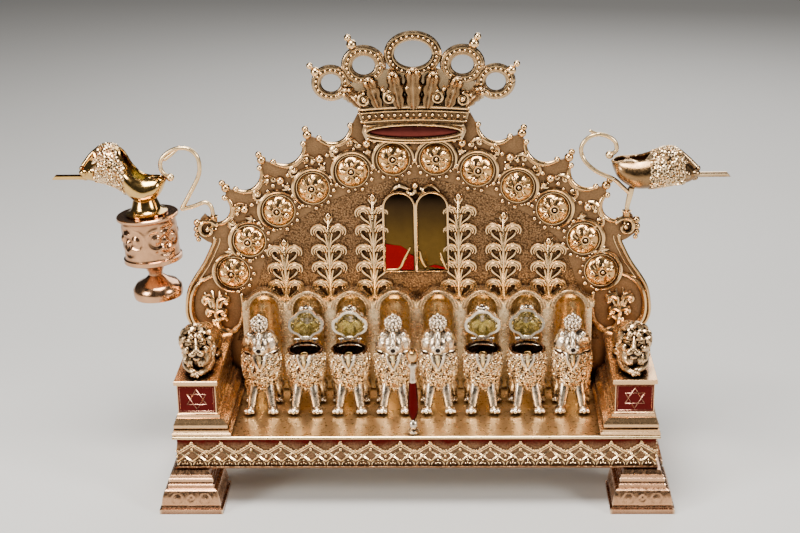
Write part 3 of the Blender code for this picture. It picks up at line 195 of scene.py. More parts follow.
def metal(name, bright, deep, rough=(0.16, 0.36), grain=0.12, pits=0.0, worn_and_glint=None, painted_reflection=None, blotch=0.8):
    """A gilt or silver finish. bright and deep are the colours of open and shut-in places; the darkening towards deep
    is painted shade, and tarnish.
    """
    material = bpy.data.materials.new(name)
    material.use_nodes = True
    tree = material.node_tree
    shader = tree.nodes["Principled BSDF"]
    shader.inputs["Metallic"].default_value = 1.0
    place = new_node(tree, 'ShaderNodeTexCoord').outputs["Object"]
    # Painted shade: the Ambient Occlusion node darkens shut-in places towards deep, which also stands for tarnish.
    shade_probe = new_node(tree, 'ShaderNodeAmbientOcclusion', samples=6)
    shade_probe.inputs["Distance"].default_value = SHADE_REACH
    unshaded_share = mapped(tree, shade_probe.outputs["AO"], 0.45, 0.98)
    patches = mapped(tree, noise_of(tree, place, 160.0), 0.30, 0.70)
    colour = blend_colours(tree, unshaded_share, deep, bright)
    aged = tuple(0.72 * b + 0.28 * d for b, d in zip(bright, deep))
    colour = blend_colours(tree, mapped(tree, patches, 0.0, 1.0, 0.0, blotch), colour,
                           blend_colours(tree, unshaded_share, deep, aged))
    # Pointiness lightens sharp edges: worn gilding, and a painted highlight.
    if worn_and_glint:
        pointy_share = new_node(tree, 'ShaderNodeNewGeometry').outputs["Pointiness"]
        edges = mapped(tree, pointy_share, 0.53, 0.64)
        colour = blend_colours(tree, edges, colour, worn_and_glint)
    # A painted reflection: a colour laid over a range of heights.
    if painted_reflection:
        reflected_colour, low, high = painted_reflection
        split = new_node(tree, 'ShaderNodeSeparateXYZ')
        tree.links.new(place, split.inputs[0])
        wavy = new_node(tree, 'ShaderNodeMath', operation='MULTIPLY_ADD')
        wavy.inputs[1].default_value = 0.006
        tree.links.new(noise_of(tree, place, 90.0, 2.0), wavy.inputs[0])
        tree.links.new(split.outputs[2], wavy.inputs[2])
        amount = mapped(tree, wavy.outputs[0], low, high)
        colour = blend_colours(tree, amount, colour, reflected_colour)
    tree.links.new(colour, shader.inputs["Base Color"])
    fine = noise_of(tree, place, 420.0, 5.0)
    tree.links.new(mapped(tree, fine, 0.3, 0.7, *rough), shader.inputs["Roughness"])
    bump = new_node(tree, 'ShaderNodeBump')
    bump.inputs["Strength"].default_value = grain
    bump.inputs["Distance"].default_value = 0.0002
    tree.links.new(noise_of(tree, place, 1500.0, 3.0), bump.inputs["Height"])
    if pits:
        cells = new_node(tree, 'ShaderNodeTexVoronoi')
        cells.inputs["Scale"].default_value = 950.0
        tree.links.new(place, cells.inputs["Vector"])
        gaps = mapped(tree, cells.outputs["Distance"], 0.25, 0.75, 0.0, 0.8 * pits)
        tree.links.new(blend_colours(tree, gaps, colour, deep), shader.inputs["Base Color"])
        punch = new_node(tree, 'ShaderNodeBump')
        punch.inputs["Strength"].default_value = pits
        punch.inputs["Distance"].default_value = 0.0004
        tree.links.new(cells.outputs["Distance"], punch.inputs["Height"])
        tree.links.new(bump.outputs[0], punch.inputs["Normal"])
        bump = punch
    tree.links.new(bump.outputs[0], shader.inputs["Normal"])
    return material


# The dark red of a painted reflection.
REFLECTED_RED = (0.09, 0.004, 0.004)
ROSE = metal("rose_gilt", (0.80, 0.46, 0.18), (0.036, 0.012, 0.004), rough=(0.12, 0.30), worn_and_glint=(0.99, 0.70, 0.38))
ROSE_GROUND = metal("rose_gilt_ground", (0.38, 0.215, 0.10), (0.03, 0.011, 0.005), rough=(0.28, 0.46), pits=0.30)
PUNCHED = metal("punched_ground", (0.38, 0.215, 0.10), (0.020, 0.008, 0.004), rough=(0.30, 0.50), pits=1.0)
PALE = metal("pale_gilt", (0.92, 0.65, 0.34), (0.20, 0.09, 0.03), rough=(0.24, 0.36), grain=0.04, blotch=0.25)
AMBER = metal("amber_gilt", (0.92, 0.69, 0.36), (0.26, 0.13, 0.03), rough=(0.22, 0.34), grain=0.03, blotch=0.4)
SILVER = metal("aged_silver", (0.76, 0.60, 0.43), (0.040, 0.016, 0.006), worn_and_glint=(1.0, 0.86, 0.68))
FUR = metal("gilt_fur", (0.70, 0.46, 0.24), (0.030, 0.010, 0.004), worn_and_glint=(0.96, 0.72, 0.44), blotch=1.0)
# Almost black painted shade, for the body under the curls.
SHADE_UNDER_CURLS = metal("painted_shade_under_curls", (0.13, 0.06, 0.028), (0.02, 0.008, 0.004))
GUARDIAN = metal("guardian_gilt", (0.80, 0.53, 0.28), (0.035, 0.012, 0.005))
BRONZE = metal("bronze_gilt", (0.33, 0.19, 0.085), (0.020, 0.008, 0.003), worn_and_glint=(0.94, 0.68, 0.40))
# Dark red painted reflection, for the post's shaft.
RED_REFLECTION_GILT = metal("red_reflection_gilt", (0.085, 0.004, 0.004), (0.03, 0.002, 0.002), rough=(0.14, 0.28), grain=0.05)
LENS = metal("lens_enamel", (0.16, 0.035, 0.028), (0.03, 0.005, 0.004), rough=(0.30, 0.42), grain=0.05)
OLIVE = metal("olive_gilt", (0.95, 0.84, 0.42), (0.22, 0.13, 0.02), rough=(0.14, 0.30))
# Painted shade for eyes, nostrils, mouths and holes; in the wick's bore it also stands for soot.
SHADE_AND_SOOT = metal("shade_and_soot", (0.03, 0.022, 0.018), (0.008, 0.006, 0.005), rough=(0.5, 0.8))
# The feet's shut-in colour is dark red: painted shade with a painted red reflection.
FOOT_METAL = metal("foot_gilt", (0.70, 0.38, 0.20), (0.07, 0.004, 0.004), worn_and_glint=(0.98, 0.76, 0.50))
print(len(bpy.data.materials), "materials")

# %% [markdown]
# Most ornament is a bar bent along a line: a rolled edge, a leaf's rib, a lock of hair. One helper skins rings
# of points, and a second sets round rings along a path. The rings turn with the path as little as they can,
# which keeps the bar from twisting.
# %% Shape helpers


def skin(bm, rings, caps=True, loop=True):
    """Faces between neighbouring rings, each with as many points as the next."""
    rows = [[bm.verts.new(point) for point in ring] for ring in rings]
    for near, far in zip(rows, rows[1:]):
        count = len(near)
        for i in range(count if loop else count - 1):
            j = (i + 1) % count
            bm.faces.new((near[i], near[j], far[j], far[i]))
    if caps:
        bm.faces.new(rows[0])
        bm.faces.new(rows[-1])
    return rows


def curve_through(points, steps=6):
    """A smooth line through a row of points."""
    padded = [points[0]] + list(points) + [points[-1]]
    line = []
    for i in range(1, len(padded) - 2):
        before, start, end, after = (Vector(padded[i + k]) for k in (-1, 0, 1, 2))
        for step in range(steps):
            t = step / steps
            line.append(0.5 * (2 * start + (end - before) * t + (2 * before - 5 * start + 4 * end - after) * t ** 2
                               + (3 * start - before - 3 * end + after) * t ** 3))
    line.append(Vector(points[-1]))
    return line


def share_of(values, t):
    """The value at share t of a short list, straight between its entries."""
    if isinstance(values, (int, float)):
        return values
    spot = t * (len(values) - 1)
    i = min(int(spot), len(values) - 2)
    return values[i] + (values[i + 1] - values[i]) * (spot - i)


def tube(bm, path, radius, sides=8, flat=1.0, hint=(0, 1, 0)):
    """A bar along a path with blunt round ends. Its height towards hint is flat times its width."""
    points = [Vector(p) for p in path]
    lean = Vector(hint)
    rings = []
    last = len(points) - 1
    for i, point in enumerate(points):
        along = (points[min(i + 1, last)] - points[max(i - 1, 0)]).normalized()
        side = along.cross(lean)
        if side.length < 0.001:
            side = along.orthogonal()
        side.normalize()
        lean = side.cross(along).normalized()
        r = share_of(radius, i / last)

        def ring(centre, size):
            return [centre + side * math.cos(a) * size + lean * math.sin(a) * size * flat
                    for a in (2 * math.pi * k / sides for k in range(sides))]
        if i == 0:
            rings.append(ring(point - along * r * 0.55, r * 0.55))
        rings.append(ring(point, r))
        if i == last:
            rings.append(ring(point + along * r * 0.55, r * 0.55))
    skin(bm, rings)


def ball(bm, centre, radius, stretch=(1, 1, 1), detail=2):
    place = Matrix.Translation(centre) @ Matrix.Diagonal((*stretch, 1.0))
    bmesh.ops.create_icosphere(bm, subdivisions=detail, radius=radius, matrix=place)


def lathe(bm, profile, centre=(0, 0, 0), steps=40, turn=None):
    """A turned body: profile points (radius, height), from the foot up."""
    rings = []
    for r, z in profile:
        ring = [Vector((max(r, 0.01) * math.cos(2 * math.pi * i / steps),
                        max(r, 0.01) * math.sin(2 * math.pi * i / steps), z)) for i in range(steps)]
        rings.append([Vector(centre) + (turn @ p if turn else p) for p in ring])
    skin(bm, rings)


def spiral(centre, start, end, angle, sweep, steps=14):
    """Points of a flat spiral, (x, z) in the plate's plane."""
    line = []
    for i in range(steps + 1):
        t = i / steps
        r = start + (end - start) * t
        line.append((centre[0] + r * math.cos(angle + sweep * t), centre[1] + r * math.sin(angle + sweep * t)))
    return line


def arc(start, end, depth, steps=12):
    """Points of an arc whose middle lies depth to the left of the chord."""
    start, end = Vector(start), Vector(end)
    half = (end - start).length / 2
    chord = (end - start).normalized()
    side = Vector((-chord.y, chord.x))
    radius = (half ** 2 + depth ** 2) / (2 * depth)
    spread = math.asin(min(1.0, half / radius))
    if depth > radius:
        spread = math.pi - spread
    centre = (start + end) / 2 + side * (depth - radius)
    line = []
    for i in range(steps + 1):
        angle = spread * (2 * i / steps - 1)
        line.append(centre + chord * math.sin(angle) * radius + side * math.cos(angle) * radius)
    return line


print("helpers ready")

# %% [markdown]
# A finished piece is one mesh. This helper closes it, moves it to its place, shades it smooth apart from its
# sharp edges, gives it a finish, hangs it under an empty for the body it moves with, and hides the solids it stands
# for.
# %% Finish a piece
FLAT_ANGLE = math.radians(38)
made = {}


def mesh_of(name, bm):
    bmesh.ops.recalc_face_normals(bm, faces=bm.faces)
    mesh = bpy.data.meshes.new(name)
    bm.to_mesh(mesh)
    bm.free()
    return mesh


def finish(name, mesh, material, body="lamp", instead=(), place=TO_WORLD):
    if isinstance(mesh, bmesh.types.BMesh):
        mesh = mesh_of(name, mesh)
    mesh.transform(place)
    mesh.shade_smooth()
    mesh.set_sharp_from_angle(angle=FLAT_ANGLE)
    if not mesh.materials:
        mesh.materials.append(material)
    piece = bpy.data.objects.new(name, mesh)
    bpy.context.scene.collection.objects.link(piece)
    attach(piece, body)
    if instead:
        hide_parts(*instead)
    made[name] = sum(len(p.vertices) - 2 for p in mesh.polygons)
    print(name, made[name], "triangles")
    return piece


# %% [markdown]
# Pearls are the lamp's commonest ornament: hundreds of small cast balls. Geometry Nodes set one ball on each
# point of a mesh that is nothing but points, and scale it by the point's own size. The balls are plain
# icospheres of eighty faces, which is enough at this size. Realize Instances makes them real mesh, because an
# exported model keeps no instances.
# %% Pearl tree


def new_tree(name, inputs):
    """An empty geometry tree with a geometry input, named inputs, and one geometry output."""
    tree = bpy.data.node_groups.new(name, 'GeometryNodeTree')
    tree.interface.new_socket(name="Geometry", in_out='INPUT', socket_type='NodeSocketGeometry')
    for label, kind in inputs:
        tree.interface.new_socket(name=label, in_out='INPUT', socket_type=kind)
    tree.interface.new_socket(name="Geometry", in_out='OUTPUT', socket_type='NodeSocketGeometry')
    return tree, tree.nodes.new('NodeGroupInput'), tree.nodes.new('NodeGroupOutput')


def end_tree(tree, given, result, geometry):
    """Realize the instances, set the material and hand the mesh out."""
    real = tree.nodes.new('GeometryNodeRealizeInstances')
    paint = tree.nodes.new('GeometryNodeSetMaterial')
    tree.links.new(geometry, real.inputs[0])
    tree.links.new(real.outputs[0], paint.inputs["Geometry"])
    tree.links.new(given.outputs["Finish"], paint.inputs["Material"])
    tree.links.new(paint.outputs[0], result.inputs[0])


def pearl_tree():
    tree, given, result = new_tree("pearls", (("Radius", 'NodeSocketFloat'), ("Finish", 'NodeSocketMaterial')))
    drop = tree.nodes.new('GeometryNodeMeshIcoSphere')
    drop.inputs["Radius"].default_value = 1.0
    drop.inputs["Subdivisions"].default_value = 2
    size = tree.nodes.new('GeometryNodeInputNamedAttribute')
    size.data_type = 'FLOAT'
    size.inputs["Name"].default_value = "size"
    scale = new_node(tree, 'ShaderNodeMath', operation='MULTIPLY')
    spots = tree.nodes.new('GeometryNodeInstanceOnPoints')
    tree.links.new(size.outputs["Attribute"], scale.inputs[0])
    tree.links.new(given.outputs["Radius"], scale.inputs[1])
    tree.links.new(given.outputs["Geometry"], spots.inputs["Points"])
    tree.links.new(drop.outputs["Mesh"], spots.inputs["Instance"])
    tree.links.new(scale.outputs[0], spots.inputs["Scale"])
    end_tree(tree, given, result, spots.outputs["Instances"])
    return tree


def grown(mesh, tree, values):
    """The mesh that a tree makes from another mesh. Inputs are set by their sockets' identifiers."""
    guide = bpy.data.objects.new("guide", mesh)
    bpy.context.scene.collection.objects.link(guide)
    step = guide.modifiers.new("growth", 'NODES')
    step.node_group = tree
    for item in tree.interface.items_tree:
        if item.item_type == 'SOCKET' and item.in_out == 'INPUT' and item.name in values:
            step[item.identifier] = values[item.name]
    graph = bpy.context.evaluated_depsgraph_get()
    result = bpy.data.meshes.new_from_object(guide.evaluated_get(graph))
    bpy.data.objects.remove(guide)
    return result


PEARLS = pearl_tree()


def pearls(spots, material, radius=1.0):
    """A mesh of balls. A spot is a point and a size."""
    points = bpy.data.meshes.new("spots")
    points.from_pydata([tuple(place) for place, _ in spots], [], [])
    points.attributes.new("size", 'FLOAT', 'POINT').data.foreach_set("value", [size for _, size in spots])
    return grown(points, PEARLS, {"Radius": radius, "Finish": material})


print("pearl tree has", len(PEARLS.nodes), "nodes")

# %% [markdown]
# Each foot is a square stepped plinth, cast with a swelling cushion that carries scrolls. A lathe would make it
# round, so the profile is swept round a square instead: every level is a square ring, cut into short edges so
# that the cushion's relief has points to move. The relief is a low wave pattern of two facing scrolls.
# %% Feet
FOOT_LEVELS = [(0.0, 19.7), (0.4, 19.8), (3.2, 19.8), (3.6, 18.5), (4.4, 18.3), (4.9, 18.1), (5.3, 18.5),
               (6.0, 18.6), (7.0, 18.4), (8.0, 18.25), (9.0, 18.1), (10.0, 17.9), (11.0, 17.7), (12.0, 17.4),
               (13.0, 17.1), (14.2, 16.7), (14.6, 16.2), (15.2, 15.2), (15.5, 14.5), (17.5, 14.4), (18.0, 13.6),
               (19.0, 13.3), (19.4, 13.8), (21.4, 13.9), (21.8, 13.3), (23.2, 13.1), (23.6, 12.3), (26.1, 11.2)]
FOOT_INSET = 10.8
TRAY_HALF, TRAY_DEPTH = 150.0, 88.0
FOOT_CUTS = 44


def foot_relief(across, height):
    """Height of the scrolls on the cushion, for a place along the side and a height."""
    swell = max(0.0, 1 - ((height - 9.8) / 4.4) ** 2)
    curl = math.hypot(abs(across) - 8.6, height - 9.6)
    scroll = math.sin(curl * 2.1 - 1.0) * math.exp(-(curl / 5.5) ** 2)
    rosette = math.cos(math.hypot(across, height - 9.8) * 2.3) * math.exp(-(across / 3.0) ** 2)
    return 0.42 * swell * (scroll + rosette)


def foot_mesh():
    bm = bmesh.new()
    rings = []
    for z, half in FOOT_LEVELS:
        ring = []
        for side in range(4):
            for cut in range(FOOT_CUTS):
                across = half * (2 * cut / FOOT_CUTS - 1)
                out = half + foot_relief(across, z) * (1 - abs(across / half) ** 6) - 0.1
                ring.append(Matrix.Rotation(side * math.pi / 2, 3, 'Z') @ Vector((across, -out, z)))
        rings.append(ring)
    skin(bm, rings)
    return mesh_of("foot", bm)


foot = foot_mesh()
for row, y in (("front", FOOT_INSET), ("back", TRAY_DEPTH - FOOT_INSET)):
    for side, sign in (("left", -1), ("right", 1)):
        place = TO_WORLD @ Matrix.Translation((sign * (TRAY_HALF - FOOT_INSET), y, 0))
        finish(f"stepped_{row}_{side}_foot", foot.copy(), FOOT_METAL, instead=[f"foot_{row}_{side}"],
               place=place)

# %% [markdown]
# The frieze under the tray is a strip of cast lace: a zigzag edge with a pearl on every peak, a lattice of
# double bars with a pearl in every lozenge, and small arches along the foot. One period of it is drawn once,
# and a tree repeats it along a straight row, as the caster repeated one stamp along the strip.
# %% Frieze box
FRIEZE_LOW, FRIEZE_HIGH = 26.5, 46.2
FRIEZE_INSET = 2.3
LACE_PITCH = 18.1
WALL = 2.0


def row_tree():
    tree, given, result = new_tree("row", (("Count", 'NodeSocketInt'), ("Pitch", 'NodeSocketFloat'),
                                           ("Finish", 'NodeSocketMaterial')))
    line = tree.nodes.new('GeometryNodeMeshLine')
    step = tree.nodes.new('ShaderNodeCombineXYZ')
    spots = tree.nodes.new('GeometryNodeInstanceOnPoints')
    tree.links.new(given.outputs["Count"], line.inputs["Count"])
    tree.links.new(given.outputs["Pitch"], step.inputs["X"])
    tree.links.new(step.outputs[0], line.inputs["Offset"])
    tree.links.new(line.outputs[0], spots.inputs["Points"])
    tree.links.new(given.outputs["Geometry"], spots.inputs["Instance"])
    end_tree(tree, given, result, spots.outputs["Instances"])
    return tree


ROW = row_tree()


def lace_unit(pitch):
    """One period of the lace, from valley to valley, with x along the strip and z up from its foot."""
    bm = bmesh.new()
    half = pitch / 2
    peak, valley, foot_line = 16.4, 10.6, 1.9
    for start, end in (((0, valley), (half, peak)), ((half, peak), (pitch, valley))):
        for drop, thick in ((0.0, 0.50), (1.5, 0.34)):
            tube(bm, [(start[0], -0.2, start[1] - drop), (end[0], -0.2, end[1] - drop)], thick, 5)
        for i in range(5):
            t = (i + 0.5) / 5
            ball(bm, (start[0] + (end[0] - start[0]) * t, -0.45, start[1] + (end[1] - start[1]) * t + 0.75), 0.55, detail=1)
    ball(bm, (half, -0.4, peak + 1.1), 0.95)
    ball(bm, (half, -0.3, peak - 3.6), 1.05)
    ball(bm, (0, -0.3, valley - 2.6), 1.0)
    for cross in (0.25, 0.75):
        x = pitch * cross
        for lean in (-1, 1):
            for shift in (-0.45, 0.45):
                tube(bm, [(x - lean * 4.6 + shift, -0.15, 11.8), (x + lean * 4.6 + shift, -0.15, 4.2)], 0.28, 4)
        ball(bm, (x, -0.45, 8.0), 0.85)
    for x in (half * 0.5, half, half * 1.5, pitch):
        ball(bm, (x, -0.3, 5.2), 0.7, detail=1)
    for x in (half * 0.5, half * 1.5):
        ring = [(x + 3.9 * math.cos(a), -0.2, foot_line + 3.4 * math.sin(a)) for a in
                (math.pi * i / 8 for i in range(9))]
        tube(bm, ring, 0.42, 5)
        for turn in (0.25, 0.5, 0.75):
            ball(bm, (x + 1.9 * math.cos(math.pi * turn), -0.35, foot_line + 1.6 * math.sin(math.pi * turn)), 0.55,
                 detail=1)
    return mesh_of("lace_unit", bm)


def lace_strip(name, length, place):
    count = round(length / LACE_PITCH)
    pitch = length / count
    strip = grown(lace_unit(pitch), ROW, {"Count": count, "Pitch": pitch, "Finish": ROSE})
    finish(name, strip, ROSE, place=TO_WORLD @ place)


def square_ring(half_x, half_y, z, middle=TRAY_DEPTH / 2):
    return [Vector((sx * half_x, middle + sy * half_y, z)) for sx, sy in ((-1, -1), (1, -1), (1, 1), (-1, 1))]


FRIEZE_HALF = TRAY_HALF - FRIEZE_INSET
FRIEZE_DEEP = TRAY_DEPTH / 2 - FRIEZE_INSET
box = bmesh.new()
levels = [(-WALL, FRIEZE_LOW), (0.9, FRIEZE_LOW), (1.2, FRIEZE_LOW + 0.4), (1.2, FRIEZE_LOW + 1.1),
          (0.7, FRIEZE_LOW + 1.5), (-0.35, FRIEZE_LOW + 1.6), (-0.35, FRIEZE_HIGH), (-WALL, FRIEZE_HIGH)]
rows = skin(box, [square_ring(FRIEZE_HALF + out, FRIEZE_DEEP + out, z) for out, z in levels], caps=False)
for i in range(4):
    box.faces.new((rows[-1][i], rows[-1][(i + 1) % 4], rows[0][(i + 1) % 4], rows[0][i]))
# The frieze's upper band carries a painted dark red reflection.
FRIEZE = metal("frieze_ground", (0.30, 0.16, 0.08), (0.03, 0.010, 0.005), rough=(0.25, 0.45), pits=0.6,
               painted_reflection=(REFLECTED_RED, 0.0435, 0.0475))
finish("frieze_walls", box, FRIEZE, instead=["frieze_box"])
front_place = Matrix.Translation((-FRIEZE_HALF, FRIEZE_INSET + 0.25, FRIEZE_LOW))
lace_strip("front_lace", 2 * FRIEZE_HALF, front_place)
for name, sign in (("left", -1), ("right", 1)):
    turn = Matrix.Rotation(sign * math.pi / 2, 4, 'Z')
    place = Matrix.Translation((sign * (FRIEZE_HALF - 0.25), TRAY_DEPTH / 2 - sign * FRIEZE_DEEP, FRIEZE_LOW)) @ turn
    lace_strip(f"{name}_lace", 2 * FRIEZE_DEEP, place)

# %% [markdown]
# The tray is a plain polished sheet whose edge is rolled over. Only its edge needs modelling: a few square
# rings follow the roll. Its finish is smooth and pale, with faint stains of old oil, so that it mirrors the
# lions softly.
# %% Tray
tray = bmesh.new()
TRAY_BASE = TRAY_TOP - 2.0
edge = [(-3.0, 0.0), (-0.9, 0.0), (-0.25, 0.3), (0.0, 0.95), (-0.2, 1.6), (-0.8, 2.0), (-1.7, 1.9), (-2.3, 1.45), (-3.2, 1.4)]
skin(tray, [square_ring(TRAY_HALF + out, TRAY_DEPTH / 2 + out, TRAY_BASE + z) for out, z in edge])
finish("drip_tray", tray, PALE, instead=["tray"])

# %% [markdown]
# The bench arms are hollow boxes on a stepped, swelling base, with a flat slab on top. The front of each
# shaft is engraved with a common six-pointed star, two triangles of fine lines in a thin frame. The lines are
# laid on as hair-thin ridges, which catch the light as the engraved ones do. A thin dark red sheet under them
# on each front is a painted reflection.
# %% Bench arms
ARM_WIDTH, ARM_HEIGHT, SLAB = 23.5, 36.1, 2.8
ARM_MIDDLE = TRAY_HALF - 4.3 - ARM_WIDTH / 2
ARM_FRONT, ARM_BACK = 6.0, 83.4
ARM_LEVELS = [(0.3, 8.6, 3.9, 5.2), (0.6, 9.0, 4.1, 5.4), (1.7, 9.0, 4.1, 5.4), (2.1, 8.4, 3.8, 5.0), (2.5, 7.6, 3.3, 4.6),
              (3.8, 7.6, 3.3, 4.6), (4.1, 6.2, 2.5, 3.3), (5.0, 6.8, 3.0, 3.8), (6.4, 7.0, 3.1, 4.0), (7.6, 6.7, 2.9, 3.7),
              (8.8, 5.7, 2.3, 3.0), (10.0, 4.6, 1.8, 2.4), (10.8, 4.2, 1.6, 2.1), (11.2, 2.1, 0.9, 1.3),
              (12.9, 2.0, 0.8, 1.2), (13.2, 0.9, 0.4, 0.6), (13.8, 0.2, 0.1, 0.1), (32.0, 0.1, 0.1, 0.1), (32.6, 0.7, 0.5, 0.9),
              (33.2, 1.6, 1.2, 2.4), (33.4, 1.9, 1.5, 3.0), (35.7, 1.9, 1.5, 3.0), (36.1, 1.6, 1.2, 2.6)]
ARM_METAL = metal("arm_gilt", (0.82, 0.50, 0.25), (0.10, 0.04, 0.015), rough=(0.24, 0.29), grain=0.02,
                  blotch=0.1)
FRONT_RED_REFLECTION = metal("arm_red_reflection", (0.10, 0.010, 0.009), (0.03, 0.003, 0.003), rough=(0.12, 0.26), grain=0.05)
STAR_LINE = metal("star_line", (0.80, 0.42, 0.26), (0.20, 0.06, 0.04))


def star(bm, x, y, z, size, thick):
    for flip in (1, -1):
        corners = [Vector((x + size * math.sin(2 * math.pi * i / 3), y, z + flip * size * math.cos(2 * math.pi * i / 3)))
                   for i in range(3)]
        for i in range(3):
            tube(bm, [corners[i], corners[(i + 1) % 3]], thick, 4)


for side, sign in (("left", -1), ("right", 1)):
    arm = bmesh.new()
    rings = []
    for height, inner, outer, front in ARM_LEVELS:
        near = sign * (ARM_MIDDLE - ARM_WIDTH / 2 - inner)
        far = sign * (ARM_MIDDLE + ARM_WIDTH / 2 + outer)
        z = TRAY_TOP + height
        rings.append([Vector((near, ARM_FRONT - front, z)), Vector((far, ARM_FRONT - front, z)),
                      Vector((far, ARM_BACK, z)), Vector((near, ARM_BACK, z))])
    skin(arm, rings)
    piece = finish(f"bench_arm_{side}", arm, ARM_METAL, instead=[f"side_arm_{side}"])

    # A thin dark red sheet on the front: a painted reflection.
    reflection_panel = bmesh.new()
    low, high = TRAY_TOP + 14.2, TRAY_TOP + 31.6
    half = ARM_WIDTH / 2 - 0.4
    middle = sign * ARM_MIDDLE
    face = ARM_FRONT - 0.12
    skin(reflection_panel, [[Vector((middle + sx * half, y, z)) for sx, z in ((-1, low), (1, low), (1, high), (-1, high))]
                 for y in (face, ARM_FRONT + 0.3)])
    finish(f"arm_front_{side}", reflection_panel, FRONT_RED_REFLECTION)
    lines = bmesh.new()
    star(lines, middle, face - 0.1, (low + high) / 2, 6.8, 0.26)
    frame_half = half - 1.0
    corners = [(-frame_half, low + 0.9), (frame_half, low + 0.9), (frame_half, high - 0.9), (-frame_half, high - 0.9)]
    for i in range(4):
        a, b = corners[i], corners[(i + 1) % 4]
        tube(lines, [(middle + a[0], face - 0.05, a[1]), (middle + b[0], face - 0.05, b[1])], 0.12, 4)
    finish(f"star_engraving_{side}", lines, STAR_LINE)
    strokes = bmesh.new()
    for rise in (-3.4, 3.4):
        spot = (low + high) / 2 + rise
        tube(strokes, [(middle - 5.6, face - 0.12, spot), (middle + 5.6, face - 0.12, spot)], 0.14, 4)
    finish(f"star_glint_{side}", strokes, SILVER)

# %% [markdown]
# The back plate is one sheet with a scrolled edge. The sheet itself is plain here, a flat outline with a
# punched ground, and each kind of ornament is a piece of its own on it. That keeps every mesh small enough to
# change, and it is also how chased work is planned: first the ground, then the edges, then the bosses.
# %% Back plate sheet
PLATE_FRONT, PLATE_BACK = 83.7, 85.7
PLATE_MIDDLE = (PLATE_FRONT + PLATE_BACK) / 2
PLATE_TOP = 184.0
PLATE_FLANK = [(145.0, 36.8), (149.5, 45.0), (150.2, 53.8), (147.2, 67.5), (137.0, 83.6), (130.5, 97.0)]
PLATE_VOLUTE = [(134.0, 98.6), (138.6, 102.0), (139.0, 109.0), (137.5, 114.0), (134.6, 117.2)]
BAYS = [((128.5, 110.6), (120.6, 128.2)), ((114.0, 132.8), (97.3, 147.5)), ((89.6, 150.7), (69.1, 162.9)),
        ((60.2, 166.0), (39.2, 174.5))]
BAY_DEPTH = 6.7
FINIAL_FEET = [(120.4, 134.0), (96.7, 152.4), (67.2, 168.6)]
FINIAL_TIPS = [(122.6, 137.3), (98.4, 155.9), (68.4, 172.2)]


def on_plate(x, height, forward=0.0):
    """A place on the plate's front: x, height above the tray and how far it stands out."""
    return Vector((x, PLATE_FRONT - forward, TRAY_TOP + height))


half_outline = [Vector((PLATE_FLANK[0][0], 0.3))] + curve_through(PLATE_FLANK, 6) + [Vector(p) for p in PLATE_VOLUTE]
for bay, horn in zip(BAYS, FINIAL_FEET + [None]):
    half_outline += arc(bay[0], bay[1], BAY_DEPTH)
    if horn:
        half_outline.append(Vector(horn))
half_outline.append(Vector((34.0, PLATE_TOP)))
outline = half_outline + [Vector((-p.x, p.y)) for p in reversed(half_outline)]
sheet = bmesh.new()
skin(sheet, [[Vector((p.x, y, TRAY_TOP + p.y)) for p in outline] for y in (PLATE_FRONT, PLATE_BACK)])
finish("plate_sheet", sheet, ROSE_GROUND, instead=["back_plate"])

# %% [markdown]
# Each bay of the edge is finished with a rolled bar that ends in a small curl and a pearl. The bar swells in
# the middle. The flanks have a roll too, with a fine second line inside it, and a spiral volute sits under
# each socket, with four pearls hanging beside it.
# %% Rolled edges and finials
edge = bmesh.new()
for sign in (-1, 1):
    for lower, upper in BAYS:
        start, end = Vector(lower), Vector(upper)
        chord = (end - start).normalized()
        inward = Vector((-chord.y, chord.x))
        line = arc(start - inward * 0.6, end - inward * 0.6, BAY_DEPTH + 1.6, 16)
        path = [Vector((sign * p.x, PLATE_MIDDLE - 0.6, TRAY_TOP + p.y)) for p in line]
        tube(edge, path, [1.1, 1.5, 1.75, 1.75, 1.5, 1.1], 10)
        for tip, bend in ((start, 1), (end, -1)):
            hook = tip - inward * 0.4 + chord * bend * 0.6
            ball(edge, (sign * hook.x, PLATE_MIDDLE - 0.9, TRAY_TOP + hook.y), 2.0)
        inner = arc(start + chord * 1.5 + inward * 2.2, end - chord * 1.5 + inward * 2.2, BAY_DEPTH + 0.4, 14)
        tube(edge, [on_plate(sign * p.x, p.y, 0.1) for p in inner], 0.55, 6)
    flank = curve_through(PLATE_FLANK + [(129.8, 101.0)], 6)
    tube(edge, [Vector((sign * (p.x - 0.7), PLATE_MIDDLE - 0.5, TRAY_TOP + p.y)) for p in flank], 1.45, 10)
    tube(edge, [on_plate(sign * (p.x - 4.0), p.y, 0.1) for p in flank], 0.6, 6)
    curl = spiral((133.2, 106.8), 6.8, 1.4, 2.7, -7.4, 26)
    tube(edge, [on_plate(sign * x, z, 0.9) for x, z in curl], [1.5, 1.4, 1.1, 0.9], 8)
    ball(edge, on_plate(sign * 133.2, 106.8, 1.2), 1.5)
    for foot_spot, tip in zip(FINIAL_FEET, FINIAL_TIPS):
        ball(edge, (sign * foot_spot[0], PLATE_MIDDLE, TRAY_TOP + foot_spot[1]), 2.9, detail=3)
        ball(edge, (sign * tip[0], PLATE_MIDDLE, TRAY_TOP + tip[1]), 2.1, detail=3)
    for x, height, radius in ((139.9, 111.0, 2.3), (140.3, 106.8, 2.1), (140.3, 103.0, 1.9), (139.6, 99.7, 1.6)):
        ball(edge, (sign * x, PLATE_MIDDLE, TRAY_TOP + height), radius * 1.05, detail=3)
finish("plate_rolls", edge, ROSE)

